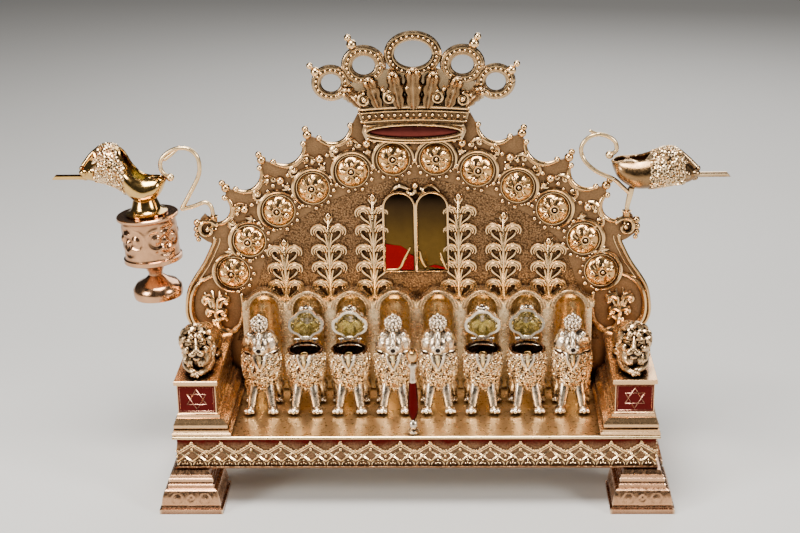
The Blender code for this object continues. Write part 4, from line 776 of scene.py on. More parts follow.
# %% [markdown]
# Twelve domed medallions stand in an arch. Each has a thin raised rim on its outer side, a dome chased with
# leaves that swirl round a small rosette, and one large pearl on its inner side. The dome is a polar grid, so
# a formula can raise its leaves: the radius and the angle of a point give the leaf's lobe it lies in. One
# medallion is made, and a tree stamps it on twelve points, each turned towards the arch's focus.
# %% Medallions
MEDALLIONS = [(13.5, 152.7), (39.5, 145.0), (64.7, 134.0), (87.1, 119.2), (106.7, 99.0), (118.2, 77.5)]
ARCH_FOCUS = Vector((0.0, 70.0))
DOME_RADIUS, DOME_HEIGHT = 10.2, 4.8


def stamp_tree():
    tree, given, result = new_tree("stamps", (("Unit", 'NodeSocketObject'), ("Finish", 'NodeSocketMaterial')))
    unit = tree.nodes.new('GeometryNodeObjectInfo')
    heading = tree.nodes.new('GeometryNodeInputNamedAttribute')
    heading.data_type = 'FLOAT_VECTOR'
    heading.inputs["Name"].default_value = "turn"
    rotation = tree.nodes.new('FunctionNodeEulerToRotation')
    size = tree.nodes.new('GeometryNodeInputNamedAttribute')
    size.data_type = 'FLOAT'
    size.inputs["Name"].default_value = "size"
    spots = tree.nodes.new('GeometryNodeInstanceOnPoints')
    tree.links.new(given.outputs["Unit"], unit.inputs["Object"])
    tree.links.new(heading.outputs["Attribute"], rotation.inputs[0])
    tree.links.new(given.outputs["Geometry"], spots.inputs["Points"])
    tree.links.new(unit.outputs["Geometry"], spots.inputs["Instance"])
    tree.links.new(rotation.outputs[0], spots.inputs["Rotation"])
    tree.links.new(size.outputs["Attribute"], spots.inputs["Scale"])
    end_tree(tree, given, result, spots.outputs["Instances"])
    return tree


STAMPS = stamp_tree()


def stamped(unit_mesh, spots, material):
    """Copies of a unit on the plate. A spot is a point, the unit's lean from upright, and a size."""
    unit = bpy.data.objects.new("unit", unit_mesh)
    bpy.context.scene.collection.objects.link(unit)
    points = bpy.data.meshes.new("spots")
    points.from_pydata([tuple(place) for place, _, _ in spots], [], [])
    turns = [value for _, lean, _ in spots for value in (math.pi / 2, lean, 0.0)]
    points.attributes.new("turn", 'FLOAT_VECTOR', 'POINT').data.foreach_set("vector", turns)
    points.attributes.new("size", 'FLOAT', 'POINT').data.foreach_set("value", [size for _, _, size in spots])
    result = grown(points, STAMPS, {"Unit": unit, "Finish": material})
    bpy.data.objects.remove(unit)
    return result


def dome_relief(r, angle):
    """Height of the leaves on the dome, for a radius share and an angle."""
    swirl = angle * 7 + 3.2 * r
    leaf = max(0.0, math.sin(swirl)) ** 0.7 * math.sin(math.pi * min(1.0, max(0.0, (r - 0.22) / 0.72)))
    vein = 0.25 * math.cos(2 * swirl + 1.2) * (1 - r)
    return 1.05 * leaf + 0.3 * vein


def medallion_mesh():
    """One medallion, with x across, y towards the outer side and z out of the plate."""
    bm = bmesh.new()
    rings = []
    around, across = 84, 16
    for i in range(across + 1):
        r = 1 - i / across
        ring = []
        for k in range(around):
            angle = 2 * math.pi * k / around
            height = DOME_HEIGHT * math.sqrt(max(0.0, 1 - r * r)) * 0.95 + dome_relief(r, angle) * (r < 0.97)
            ring.append(Vector((DOME_RADIUS * max(r, 0.002) * math.cos(angle), DOME_RADIUS * max(r, 0.002) * math.sin(angle),
                                height - 0.3)))
        rings.append(ring)
    skin(bm, rings)
    rim = [(12.7 * math.cos(a), 12.7 * math.sin(a), 0.6) for a in (math.radians(-25 + 230 * i / 40) for i in range(41))]
    tube(bm, rim, [0.5, 1.2, 1.5, 1.2, 0.5], 8, hint=(0, 0, 1))
    collar = [(10.5 * math.cos(a), 10.5 * math.sin(a), 0.25) for a in (2 * math.pi * i / 40 for i in range(41))]
    tube(bm, collar, 0.4, 6, hint=(0, 0, 1))
    ring = [(2.5 * math.cos(a), 0.9 + 2.5 * math.sin(a), DOME_HEIGHT + 0.25) for a in (2 * math.pi * i / 20 for i in range(21))]
    tube(bm, ring, 0.55, 6, hint=(0, 0, 1))
    ball(bm, (0, 0.9, DOME_HEIGHT + 0.2), 1.15)
    ball(bm, (0.6, -5.8, DOME_HEIGHT - 1.0), 2.4, detail=3)
    for side in (-1, 1):
        leaf = [(side * 2.2, -3.4, 3.9), (side * 4.6, -4.6, 3.4), (side * 6.4, -2.6, 3.1), (side * 5.6, -0.4, 3.5)]
        tube(bm, curve_through(leaf, 5), [0.5, 0.9, 0.8, 0.35], 6, hint=(0, 0, 1))
    return mesh_of("medallion", bm)


spots, chain = [], []
for drawn in MEDALLIONS:
    for sign in (-1, 1):
        spot = Vector((sign * drawn[0], drawn[1]))
        outward = (spot - ARCH_FOCUS).normalized()
        lean = math.atan2(outward.x, outward.y)
        spots.append((on_plate(spot.x, spot.y), lean, 1.0))
        for step in range(-4, 5):
            way = Matrix.Rotation(math.radians(19.0 * step), 2) @ -outward
            pearl = spot + way * (12.2 if step % 2 else 13.4)
            chain.append((on_plate(pearl.x, pearl.y, 0.6), 1.0 if step % 2 else 1.45))
finish("medallions", stamped(medallion_mesh(), spots, ROSE), ROSE)

# %% [markdown]
# Pearls fill the ground: a chain along each medallion's inner side, and one large stud with two small ones
# under every bay. Small sprigs of three leaves stand between the medallions.
# %% Pearls, studs and sprigs
STUDS = [(108.9, 120.1, 0.62), (85.2, 139.1, 0.72), (59.8, 153.2, 0.45), (29.9, 163.0, 0.30)]
SPRIGS = [(103.8, 113.0), (80.1, 133.5), (57.3, 146.3), (28.7, 156.1), (117.8, 91.0)]
for sign in (-1, 1):
    for x, height, slope in STUDS:
        chain.append((on_plate(sign * x, height, 0.6), 2.7))
        for step in (-1, 1):
            chain.append((on_plate(sign * (x + step * 4.8), height - step * 4.8 * slope, 0.4), 1.5))
            chain.append((on_plate(sign * (x + step * 8.4), height - step * 8.4 * slope - 0.8, 0.3), 1.0))
finish("plate_pearls", pearls(chain, ROSE), ROSE)


def sprig_mesh():
    bm = bmesh.new()
    for lean, length in ((-0.75, 4.2), (0.0, 5.4), (0.75, 4.2)):
        path = [(0, 0, 0.3), (math.sin(lean) * length * 0.5, math.cos(lean) * length * 0.5, 0.9),
                (math.sin(lean) * length, math.cos(lean) * length, 0.5)]
        tube(bm, curve_through(path, 4), [0.3, 1.0, 0.9, 0.2], 6, hint=(0, 0, 1))
    ball(bm, (0, -0.6, 0.4), 0.8, detail=1)
    return mesh_of("sprig", bm)


spots = []
for x, height in SPRIGS:
    for sign in (-1, 1):
        outward = (Vector((sign * x, height)) - ARCH_FOCUS).normalized()
        spots.append((on_plate(sign * x, height), math.atan2(outward.x, outward.y), 1.0))
finish("leaf_sprigs", stamped(sprig_mesh(), spots, ROSE), ROSE)


def scroll_pair():
    """Two facing C-scrolls with a leaf between, which fill the ground between an edge and a medallion."""
    bm = bmesh.new()
    for side in (-1, 1):
        stem = curve_through([(side * 9.6, -3.6, 0.2), (side * 7.8, 0.2, 0.7), (side * 4.6, 1.6, 0.9)], 4)
        tube(bm, stem, [0.5, 1.2, 1.1], 7, hint=(0, 0, 1))
        curl = spiral((side * 4.4, -0.6), 2.4, 0.6, math.pi / 2, side * -5.4, 14)
        tube(bm, [(x, y, 0.7) for x, y in curl], [1.1, 0.9, 0.6], 7, hint=(0, 0, 1))
        ball(bm, (side * 4.4, -0.6, 0.8), 0.8)
        hook = spiral((side * 8.9, -4.6), 1.7, 0.5, math.pi / 2, side * 4.6, 10)
        tube(bm, [(x, y, 0.5) for x, y in hook], [0.9, 0.6], 6, hint=(0, 0, 1))
    return mesh_of("scroll_pair", bm)


spots = []
for lower, upper in BAYS:
    middle = (Vector(lower) + Vector(upper)) / 2
    inward = (ARCH_FOCUS - middle).normalized()
    for sign in (-1, 1):
        spot = middle + inward * 9.4
        spots.append((on_plate(sign * spot.x, spot.y), -sign * math.atan2(inward.x, -inward.y), 1.0))
finish("bay_scrolls", stamped(scroll_pair(), spots, ROSE), ROSE)

# %% [markdown]
# Six palm trees fill the middle field. A palm is a ribbed stem with a bud on top and pairs of fronds, and each
# frond rises from the stem, rolls over and droops, so its end shows as a striped cap. Nested arcs of thinning
# bars give those stripes.
# %% Palm trees
PALMS = [(27.2, 129.5, (117.2, 105.0, 91.7, 80.2, 67.5)), (55.8, 117.0, (105.0, 91.7, 80.2, 67.5)),
         (84.5, 99.6, (91.0, 79.5, 67.5))]
palms = bmesh.new()
for sign in (-1, 1):
    for x, bud, rows in PALMS:
        stem = [on_plate(sign * x, 58.0, 0.4), on_plate(sign * x, bud - 4.0, 0.4)]
        tube(palms, stem, [1.3, 0.9], 8)
        ball(palms, on_plate(sign * x, bud - 2.2, 0.8), 1.0, (1.7, 1.3, 2.6))
        for petal in (-1, 1):
            tube(palms, [on_plate(sign * x + petal * 0.8, bud - 6.5, 0.5), on_plate(sign * x + petal * 2.4, bud - 3.4, 0.9),
                         on_plate(sign * x + petal * 2.2, bud - 0.6, 0.6)], [0.4, 0.8, 0.3], 6)
        for height in rows:
            for side in (-1, 1):
                cx = sign * x + side * 6.2
                for radius, thick, lift in ((4.9, 1.05, 0.9), (3.3, 0.8, 1.7), (1.9, 0.75, 1.5)):
                    cap = [on_plate(cx + side * radius * math.cos(a), height + radius * 0.85 * math.sin(a), lift)
                           for a in (math.radians(-35 + 215 * i / 12) for i in range(13))]
                    tube(palms, cap, [thick * 0.5, thick, thick, thick * 0.7], 6)
                stalk = [on_plate(sign * x + side * 0.9, height - 11.0, 0.4), on_plate(sign * x + side * 1.4, height - 5.5, 0.7),
                         on_plate(sign * x + side * 2.4, height - 1.0, 0.9)]
                tube(palms, curve_through(stalk, 4), [0.5, 0.8, 0.75], 6)
                leaf = [on_plate(cx + side * 1.6, height - 1.2, 0.9), on_plate(cx + side * 0.2, height - 3.4, 0.9),
                        on_plate(sign * x + side * 2.4, height - 7.0, 0.5), on_plate(sign * x + side * 1.2, height - 10.0, 0.4)]
                tube(palms, curve_through(leaf, 4), [0.9, 1.0, 0.6, 0.3], 6)
finish("palm_trees", palms, ROSE)

field = bmesh.new()
inner = [Vector((118.0, 30.0)), Vector((104.0, 66.0))]
inner += [Vector(p) + (ARCH_FOCUS - Vector(p)).normalized() * 13.0 for p in reversed(MEDALLIONS[:5])]
inner = [p for p in inner]
ring = inner + [Vector((-p.x, p.y)) for p in reversed(inner)]
skin(field, [[on_plate(p.x, p.y, out) for p in ring] for out in (0.18, -0.3)])
finish("punched_field", field, PUNCHED)

# %% [markdown]
# Below the last medallion the plate's shoulders carry a pair of big C-scrolls with a palmette between them.
# %% Side scrolls
scrolls = bmesh.new()
SCROLL_C = [(113.7, 62.5), (112.8, 52.0), (115.4, 41.6), (121.3, 36.4), (127.6, 38.0), (129.6, 43.4), (126.4, 46.6),
            (123.8, 44.6)]
SCROLL_U = [(133.0, 44.4), (131.6, 40.0), (136.6, 37.2), (143.4, 41.4), (146.6, 50.0), (145.4, 62.1), (139.9, 71.0),
            (131.0, 76.0)]
for sign in (-1, 1):
    for line in (SCROLL_C, SCROLL_U):
        smooth = curve_through([Vector(p) for p in line], 6)
        tube(scrolls, [on_plate(sign * p.x, p.y, 0.6) for p in smooth], [1.0, 1.8, 2.0, 1.8, 1.2], 8)
        tube(scrolls, [on_plate(sign * (p.x * 0.985 + 1.3), p.y * 0.985 + 1.2, 0.3) for p in smooth], 0.5, 6)
    for start, sweep in (((124.9, 57.5), 5.2), ((136.6, 57.5), -5.2), ((126.7, 48.9), 4.8), ((134.7, 48.9), -4.8)):
        angle = 0.0 if sweep > 0 else math.pi
        curl = spiral(start, 4.9, 1.0, angle - sweep * 0.15, sweep, 16)
        tube(scrolls, [on_plate(sign * x, z, 0.8) for x, z in curl], [1.1, 2.0, 1.8, 1.3], 8)
        ball(scrolls, on_plate(sign * start[0], start[1], 1.2), 1.3)
    for lean in (-0.5, -0.2, 0.12, 0.45):
        tip = (131.0 + math.sin(lean) * 15, 50.0 + math.cos(lean) * 15)
        tube(scrolls, [on_plate(sign * 131.0, 47.0, 0.3), on_plate(sign * (131.0 + tip[0]) / 2, (47.0 + tip[1]) / 2, 1.0),
                       on_plate(sign * tip[0], tip[1], 0.5)], [0.5, 1.2, 0.6], 7)
    ball(scrolls, on_plate(sign * 131.0, 44.0, 0.8), 1.9)
finish("side_scrolls", scrolls, ROSE)

# %% [markdown]
# Round-topped niches stand behind the lions like a choir's stalls. Each is a half cylinder closed by a quarter
# sphere, burnished inside, with a moulded hood. The unit is drawn once and the row tree repeats it eight times.
# The burnished inside is a shell of its own so that it can have its own finish.
# %% Niches
NICHE_PITCH, NICHE_HALF, NICHE_DEEP = 28.03, 9.85, 9.2
NICHE_FRONT, NICHE_BACK = 73.0, 83.4
NICHE_FLOOR = TRAY_TOP + 0.3
NICHE_SPRING = TRAY_TOP + 65.5 - NICHE_HALF
HOOD = NICHE_HALF + 2.4


def hollow_ring(level, shrink, steps=20):
    """Half an ellipse, from the left edge round the back to the right edge, at a level of the hollow."""
    if level <= 1.0:
        z, slim = NICHE_FLOOR + (NICHE_SPRING - NICHE_FLOOR) * level, 1.0
    else:
        rise = (level - 1.0) * math.pi / 2
        z, slim = NICHE_SPRING + (NICHE_HALF - shrink) * math.sin(rise), max(0.01, math.cos(rise))
    half_x, half_y = (NICHE_HALF - shrink) * slim, (NICHE_DEEP - shrink) * slim
    return [Vector((-half_x * math.cos(math.pi * i / steps), NICHE_FRONT + half_y * math.sin(math.pi * i / steps), z))
            for i in range(steps + 1)]


def niche_shell():
    bm = bmesh.new()
    levels = [0.0, 0.5, 1.0] + [1.0 + i / 10 for i in range(1, 11)]
    inner = [hollow_ring(level, 0.45) for level in levels]
    outer = [hollow_ring(level, -0.05) for level in levels]
    skin(bm, [a + b[::-1] for a, b in zip(inner, outer)])
    return mesh_of("niche_shell", bm)


def niche_front():
    bm = bmesh.new()
    top_steps = 16
    side = [(1, NICHE_FLOOR), (1, (NICHE_FLOOR + NICHE_SPRING) / 2)]
    hole = [(sx * NICHE_HALF, z) for sx, z in side]
    rim = [(sx * NICHE_PITCH / 2, z) for sx, z in side]
    for i in range(top_steps + 1):
        angle = math.pi * i / top_steps
        hole.append((NICHE_HALF * math.cos(angle), NICHE_SPRING + NICHE_HALF * math.sin(angle)))
        reach = min(NICHE_PITCH / 2, HOOD / max(0.05, abs(math.cos(angle)))) if abs(math.cos(angle)) > 0.9 else HOOD
        rim.append((reach * math.cos(angle) if abs(math.cos(angle)) <= 0.9 else math.copysign(NICHE_PITCH / 2, math.cos(angle)),
                    NICHE_SPRING + HOOD * math.sin(angle)))
    hole += [(-NICHE_HALF, z) for _, z in reversed(side)]
    rim += [(-NICHE_PITCH / 2, z) for _, z in reversed(side)]
    front_rows = [[Vector((x, NICHE_FRONT, z)) for x, z in hole], [Vector((x, NICHE_FRONT, z)) for x, z in rim],
                  [Vector((x, NICHE_BACK, z)) for x, z in rim], [Vector((x, NICHE_FRONT + 0.8, z)) for x, z in hole]]
    skin(bm, [list(points) for points in zip(*front_rows)])
    for radius, thick, out in ((NICHE_HALF + 0.2, 0.55, 0.1), (HOOD - 0.5, 0.75, 0.2)):
        arch = [(radius, NICHE_FRONT - out, NICHE_FLOOR + 0.6)] if radius < NICHE_HALF + 1 else []
        arch += [(radius * math.cos(a), NICHE_FRONT - out, NICHE_SPRING + radius * math.sin(a))
                 for a in (math.pi * i / 24 for i in range(25))]
        if radius < NICHE_HALF + 1:
            arch.append((-radius, NICHE_FRONT - out, NICHE_FLOOR + 0.6))
        tube(bm, arch, thick, 6)
    for lean in (-0.5, 0.0, 0.5):
        tube(bm, [(14.015 + math.sin(lean) * 1.0, NICHE_FRONT, NICHE_SPRING + 1.0),
                  (14.015 + math.sin(lean) * 3.4, NICHE_FRONT - 0.5, NICHE_SPRING + 1.0 + math.cos(lean) * 5.4)],
             [0.9, 0.3], 6)
    return mesh_of("niche_front", bm)


row_start = Matrix.Translation((-3.5 * NICHE_PITCH, 0, 0))
shells = grown(niche_shell(), ROW, {"Count": 8, "Pitch": NICHE_PITCH, "Finish": AMBER})
finish("niche_shells", shells, AMBER, instead=["niche_arcade"], place=TO_WORLD @ row_start)
NICHE_METAL = metal("niche_gilt", (0.46, 0.26, 0.115), (0.03, 0.011, 0.005), worn_and_glint=(0.98, 0.74, 0.44), blotch=0.5)
fronts = grown(niche_front(), ROW, {"Count": 8, "Pitch": NICHE_PITCH, "Finish": NICHE_METAL})
finish("niche_fronts", fronts, NICHE_METAL, place=TO_WORLD @ row_start)

# %% [markdown]
# The tablets are two round-topped panels in a common frame, slightly bulged and burnished like mirrors. Their
# faces are bare. Their gilt is painted dark as a reflection, darker still towards the top, and low down bright
# streaks and red patches are painted reflections too.
# %% Tablets
TABLET_HALF, TABLET_LOW, TABLET_TALL = 20.9, 78.1, 53.7
# Painted dark reflection: the burnished gilt is darkened, and darker still towards the top.
TABLET_METAL = metal("tablet_gilt", (0.115, 0.064, 0.014), (0.03, 0.015, 0.005), rough=(0.10, 0.22), grain=0.03,
                     painted_reflection=((0.030, 0.017, 0.008), 0.150, 0.176))
# Bright streaks and red patches on the tablets are painted reflections.
STREAK_REFLECTION_METAL = metal("reflection_streak_gilt", (0.95, 0.58, 0.20), (0.30, 0.12, 0.03), rough=(0.12, 0.22), grain=0.03)
TABLET_RED_REFLECTION = metal("tablet_red_reflection", (0.24, 0.001, 0.001), (0.12, 0.002, 0.001), rough=(0.12, 0.24), grain=0.03)
RED_REFLECTION_PATCHES = [[(-19.4, 1.3), (-11.0, 1.3), (-4.6, 14.0), (-9.6, 17.6), (-19.2, 18.8)],
        [(-9.8, 1.3), (-1.5, 1.3), (-1.5, 10.6), (-4.4, 12.2)], [(8.0, 3.4), (19.2, 1.3), (19.3, 2.4), (12.0, 4.6)]]
REFLECTION_STREAKS = [[(-19.2, 1.4), (-11.0, 2.2), (-7.6, 8.6), (-3.6, 16.4)], [(2.4, 14.0), (3.6, 8.0), (6.0, 3.0)],
           [(15.6, 13.0), (17.2, 7.0), (19.4, 1.6)]]


def tablet_outline(inset):
    radius = TABLET_HALF / 2
    spring = TABLET_LOW + TABLET_TALL - radius
    points = [(radius - inset, TABLET_LOW + inset), (-radius + inset, TABLET_LOW + inset)]
    points = [(x, z) for x, z in points][::-1]
    for i in range(17):
        angle = math.pi * i / 16
        points.append(((radius - inset) * math.cos(angle), spring + (radius - inset) * math.sin(angle)))
    return points


tablets = bmesh.new()
reflection_patches = bmesh.new()
edging = bmesh.new()
for sign in (-1, 1):
    centre = sign * TABLET_HALF / 2
    rings = []
    for inset, out in ((0.0, 0.3), (0.0, 2.4), (1.0, 2.4), (1.3, 1.9), (4.0, 2.3), (7.5, 2.55)):
        rings.append([on_plate(centre + x, z, out) for x, z in tablet_outline(inset)])
    skin(tablets, rings)
    border = tablet_outline(0.5)
    tube(edging, [on_plate(centre + x, z, 2.5) for x, z in border + border[:1]], 0.8, 8)
for shape in RED_REFLECTION_PATCHES:
    skin(reflection_patches, [[on_plate(x, TABLET_LOW + z, out) for x, z in shape] for out in (2.0, 2.66)])
reflection_streaks = bmesh.new()
for line in REFLECTION_STREAKS:
    smooth = curve_through([Vector(point) for point in line], 5)
    tube(reflection_streaks, [on_plate(p.x, TABLET_LOW + p.y, 2.5) for p in smooth], [0.4, 1.1, 0.6], 6, flat=0.5)
finish("tablet_streaks", reflection_streaks, STREAK_REFLECTION_METAL)
finish("tablet_panels", tablets, TABLET_METAL, instead=["tablets"])
finish("tablet_glow", reflection_patches, TABLET_RED_REFLECTION)
for side in (-1, 1):
    curl = spiral((side * 3.2, TABLET_LOW + TABLET_TALL + 0.5), 3.4, 0.9, math.pi / 2 + side * 1.2, side * 5.0)
    tube(edging, [on_plate(x, z, 1.6) for x, z in curl], [1.1, 1.0, 0.7], 7)
    leaf = [on_plate(side * 5.0, TABLET_LOW + TABLET_TALL + 1.5, 1.2), on_plate(side * 10.5, TABLET_LOW + TABLET_TALL + 3.4, 1.6),
            on_plate(side * 15.5, TABLET_LOW + TABLET_TALL - 1.0, 1.0)]
    tube(edging, curve_through(leaf, 5), [0.8, 1.2, 0.4], 7)
ball(edging, on_plate(0, TABLET_LOW + TABLET_TALL + 3.6, 1.6), 2.0)
finish("tablet_frame", edging, ROSE)
print("tablet pieces done")

# %% [markdown]
# The crown is cast in high relief: a banded rim with a dark lens, a wreath of upright leaves and five beaded
# loops with pearls on top. The loops are bars swept round ellipses; the leaves are fat ribs with side lobes.
# %% Crown
CROWN_BASE = 165.7
CROWN_FRONT, CROWN_BACK = 80.4, 83.4
CROWN_BODY = [(30.0, 0.0), (32.5, 5.5), (31.0, 11.4), (33.0, 12.4), (34.6, 18.4), (33.0, 20.0), (38.5, 24.5),
              (43.5, 26.5), (44.0, 33.0), (38.5, 36.5), (33.0, 40.0), (27.0, 41.0), (20.5, 44.0), (14.0, 46.0),
              (7.0, 46.0), (0.0, 45.0)]
CROWN_LOOPS = [(0.0, 54.5, 18.0, 14.2, 11.3, 8.4), (30.4, 47.6, 13.8, 13.0, 7.0, 5.6), (50.9, 36.7, 12.6, 11.2, 5.7, 5.8)]
CROWN_FINIALS = [(37.6, 60.6, 3.3), (39.8, 64.9, 2.3), (60.4, 43.8, 3.1), (63.8, 47.6, 2.1)]


def on_crown(x, z, out=0.0):
    return Vector((x, CROWN_FRONT - out, TRAY_TOP + CROWN_BASE + z))


crown = bmesh.new()
trim = bmesh.new()
half = [Vector(p) for p in CROWN_BODY]
shape = half + [Vector((-p.x, p.y)) for p in reversed(half[:-1])]
skin(crown, [[Vector((p.x, y, TRAY_TOP + CROWN_BASE + p.y)) for p in shape] for y in (CROWN_FRONT, CROWN_BACK)])
beads = []
for x, z, half_x, half_z, hole_x, hole_z in CROWN_LOOPS:
    for sign in ((1,) if x == 0 else (-1, 1)):
        wide, tall = (half_x + hole_x) / 2, (half_z + hole_z) / 2
        thick = (half_x - hole_x + half_z - hole_z) / 4
        loop = [on_crown(sign * x + wide * math.cos(a), z + tall * math.sin(a), -1.5)
                for a in (2 * math.pi * i / 48 for i in range(49))]
        tube(crown, loop, thick, 10, flat=0.62)
        for scale in (0.86, 1.14):
            line = [on_crown(sign * x + wide * scale * math.cos(a), z + tall * scale * math.sin(a), 0.3)
                    for a in (2 * math.pi * i / 48 for i in range(49))]
            tube(trim, line, 0.6, 6)
        count = round(math.pi * (wide + tall) / 3.1)
        for i in range(count):
            a = 2 * math.pi * (i + 0.5) / count
            beads.append((on_crown(sign * x + wide * math.cos(a), z + tall * math.sin(a), 0.9), 0.95))
for x, z, radius in CROWN_FINIALS:
    for sign in (-1, 1):
        beads.append((Vector((sign * x, (CROWN_FRONT + CROWN_BACK) / 2, TRAY_TOP + CROWN_BASE + z)), radius))


def crown_leaf(bm, foot_spot, tip, wide, out):
    """An acanthus leaf: a bulging blade with a scalloped edge and ribs, whose tip rolls forward."""
    start, end = Vector(foot_spot), Vector(tip)
    along = end - start
    side = Vector((along.y, -along.x)).normalized()
    rings = []
    for i in range(21):
        t = i / 20
        lobes = 1 + 0.35 * abs(math.sin(math.pi * 3 * t))
        taper = 1.0 if t < 0.8 else max(0.25, math.cos((t - 0.8) * 6.0))
        half = wide * (0.55 + 0.35 * math.sin(math.pi * t)) * lobes * taper
        lift = out * t + 2.6 * max(0.0, t - 0.7) / 0.3
        front, back = [], []
        for k in range(-6, 7):
            u = k / 6
            point = start + along * t + side * half * u
            rise = lift + 3.0 * (1 - u * u) + 0.5 * math.cos(u * math.pi * 3)
            front.append(on_crown(point.x, point.y, rise))
            back.append(on_crown(point.x, point.y, lift - 1.0))
        rings.append(front + back[::-1])
    skin(bm, rings)
    ball(bm, on_crown(end.x, end.y, out + 3.6), 1.7, (1.7, 1.0, 0.9), detail=3)
    for step, drop in ((-1.6, 1.6), (0.0, 0.0), (1.6, 1.6)):
        spot = end + side * step * 1.3 - along.normalized() * drop
        beads.append((on_crown(spot.x, spot.y, out + 4.6), 1.15))


LEAVES = [((0.0, 20.5), (0.0, 46.0), 5.6), ((8.6, 21.0), (12.6, 43.5), 5.0), ((21.5, 21.5), (27.6, 40.0), 4.8),
          ((32.6, 22.4), (42.0, 33.5), 4.0)]
for foot_spot, tip, wide in LEAVES:
    for sign in ((1,) if foot_spot[0] == 0 else (-1, 1)):
        crown_leaf(crown, (sign * foot_spot[0], foot_spot[1]), (sign * tip[0], tip[1]), wide, 1.2)
for x, z in ((14.6, 28.0), (30.5, 26.6)):
    for sign in (-1, 1):
        coil = spiral((sign * x, z), 4.0, 1.4, math.pi * 0.5, -sign * 7.4, 24)
        tube(trim, [on_crown(px, pz, 2.6) for px, pz in coil], [0.9, 1.1, 0.9], 8)
        beads.append((on_crown(sign * x, z, 3.2), 1.7))
for x, z in ((4.0, 34.0), (19.0, 33.0), (35.6, 29.0), (46.0, 30.0)):
    for sign in (-1, 1):
        beads.append((on_crown(sign * x, z, 2.6), 1.1))
for height, drop, reach, thick in ((20.4, -1.6, 34.0, 1.5), (17.6, -1.6, 34.4, 0.7), (12.2, -1.4, 32.6, 0.9), (1.2, 2.2, 29.0, 1.1),
                                   (9.6, -1.0, 30.8, 0.8)):
    bar = [on_crown(reach * t, height - drop * (1 - t * t), 0.5) for t in (i / 12 for i in range(-12, 13))]
    tube(trim, bar, thick, 8)
for i in range(-8, 9):
    t = i / 8.4
    beads.append((on_crown(33.0 * t, 15.0 + 1.5 * (1 - t * t), 0.6), 1.25 if i % 2 else 0.8))
oval = [on_crown(30.0 * math.cos(a), 5.6 + 4.9 * math.sin(a), 0.8) for a in (2 * math.pi * i / 48 for i in range(49))]
tube(trim, oval, 1.1, 8)
finish("crown_trim", trim, ROSE)
finish("crown_relief", crown, BRONZE, instead=["crown"])
finish("crown_beads", pearls(beads, ROSE), ROSE)
lens_body = bmesh.new()
ball(lens_body, on_crown(0, 5.6, -0.2), 1.0, (28.5, 1.6, 4.0), detail=4)
finish("crown_lens", lens_body, LENS)

# %% [markdown]
# Fur and manes are hundreds of small comma curls. The next tree scatters points over a coat with a least
# distance between them, makes one curl from a short spiral, and sets it upright on the surface with a random
# turn from a fixed seed. The curl has a few dozen faces, because it is repeated thousands of times.
# %% Curl tree


def curl_tree():
    tree, given, result = new_tree("curls", (("Spacing", 'NodeSocketFloat'), ("Curl Radius", 'NodeSocketFloat'),
                                             ("Thickness", 'NodeSocketFloat'), ("Seed", 'NodeSocketInt'),
                                             ("Finish", 'NodeSocketMaterial')))
    scatter = tree.nodes.new('GeometryNodeDistributePointsOnFaces')
    scatter.distribute_method = 'POISSON'
    scatter.inputs["Density Max"].default_value = 4.0
    line = tree.nodes.new('GeometryNodeCurveSpiral')
    line.inputs["Resolution"].default_value = 7
    line.inputs["Rotations"].default_value = 0.9
    line.inputs["End Radius"].default_value = 0.3
    line.inputs["Height"].default_value = 0.5
    wire = tree.nodes.new('GeometryNodeCurvePrimitiveCircle')
    wire.inputs["Resolution"].default_value = 4
    sweep = tree.nodes.new('GeometryNodeCurveToMesh')
    sweep.inputs["Fill Caps"].default_value = True
    spots = tree.nodes.new('GeometryNodeInstanceOnPoints')
    spin = tree.nodes.new('GeometryNodeRotateInstances')
    chance = tree.nodes.new('FunctionNodeRandomValue')
    chance.data_type = 'FLOAT_VECTOR'
    chance.inputs[0].default_value = (-0.25, -0.25, 0.0)
    chance.inputs[1].default_value = (0.25, 0.25, 2 * math.pi)
    tree.links.new(given.outputs["Geometry"], scatter.inputs["Mesh"])
    tree.links.new(given.outputs["Spacing"], scatter.inputs["Distance Min"])
    tree.links.new(given.outputs["Seed"], scatter.inputs["Seed"])
    tree.links.new(given.outputs["Seed"], chance.inputs["Seed"])
    tree.links.new(given.outputs["Curl Radius"], line.inputs["Start Radius"])
    tree.links.new(given.outputs["Thickness"], wire.inputs["Radius"])
    tree.links.new(line.outputs["Curve"], sweep.inputs["Curve"])
    tree.links.new(wire.outputs["Curve"], sweep.inputs["Profile Curve"])
    tree.links.new(scatter.outputs["Points"], spots.inputs["Points"])
    tree.links.new(scatter.outputs["Rotation"], spots.inputs["Rotation"])
    tree.links.new(sweep.outputs["Mesh"], spots.inputs["Instance"])
    tree.links.new(spots.outputs["Instances"], spin.inputs["Instances"])
    tree.links.new(chance.outputs[0], spin.inputs["Rotation"])
    end_tree(tree, given, result, spin.outputs["Instances"])
    return tree


CURLS = curl_tree()


def curls(coat, spacing, radius, thickness, seed, material):
    return grown(coat, CURLS, {"Spacing": spacing, "Curl Radius": radius, "Thickness": thickness, "Seed": seed,
                               "Finish": material})


def joined(*meshes):
    """Several meshes as one, each keeping its own material."""
    bm = bmesh.new()
    result = bpy.data.meshes.new("joined")
    for mesh in meshes:
        start = len(result.materials)
        before = len(bm.faces)
        bm.from_mesh(mesh)
        bm.faces.ensure_lookup_table()
        for face in bm.faces[before:]:
            face.material_index += start
        for material in mesh.materials:
            result.materials.append(material)
    bm.to_mesh(result)
    bm.free()
    return result


def painted(bm, material):
    mesh = mesh_of("painted", bm)
    mesh.materials.append(material)
    return mesh


print("curl tree has", len(CURLS.nodes), "nodes")

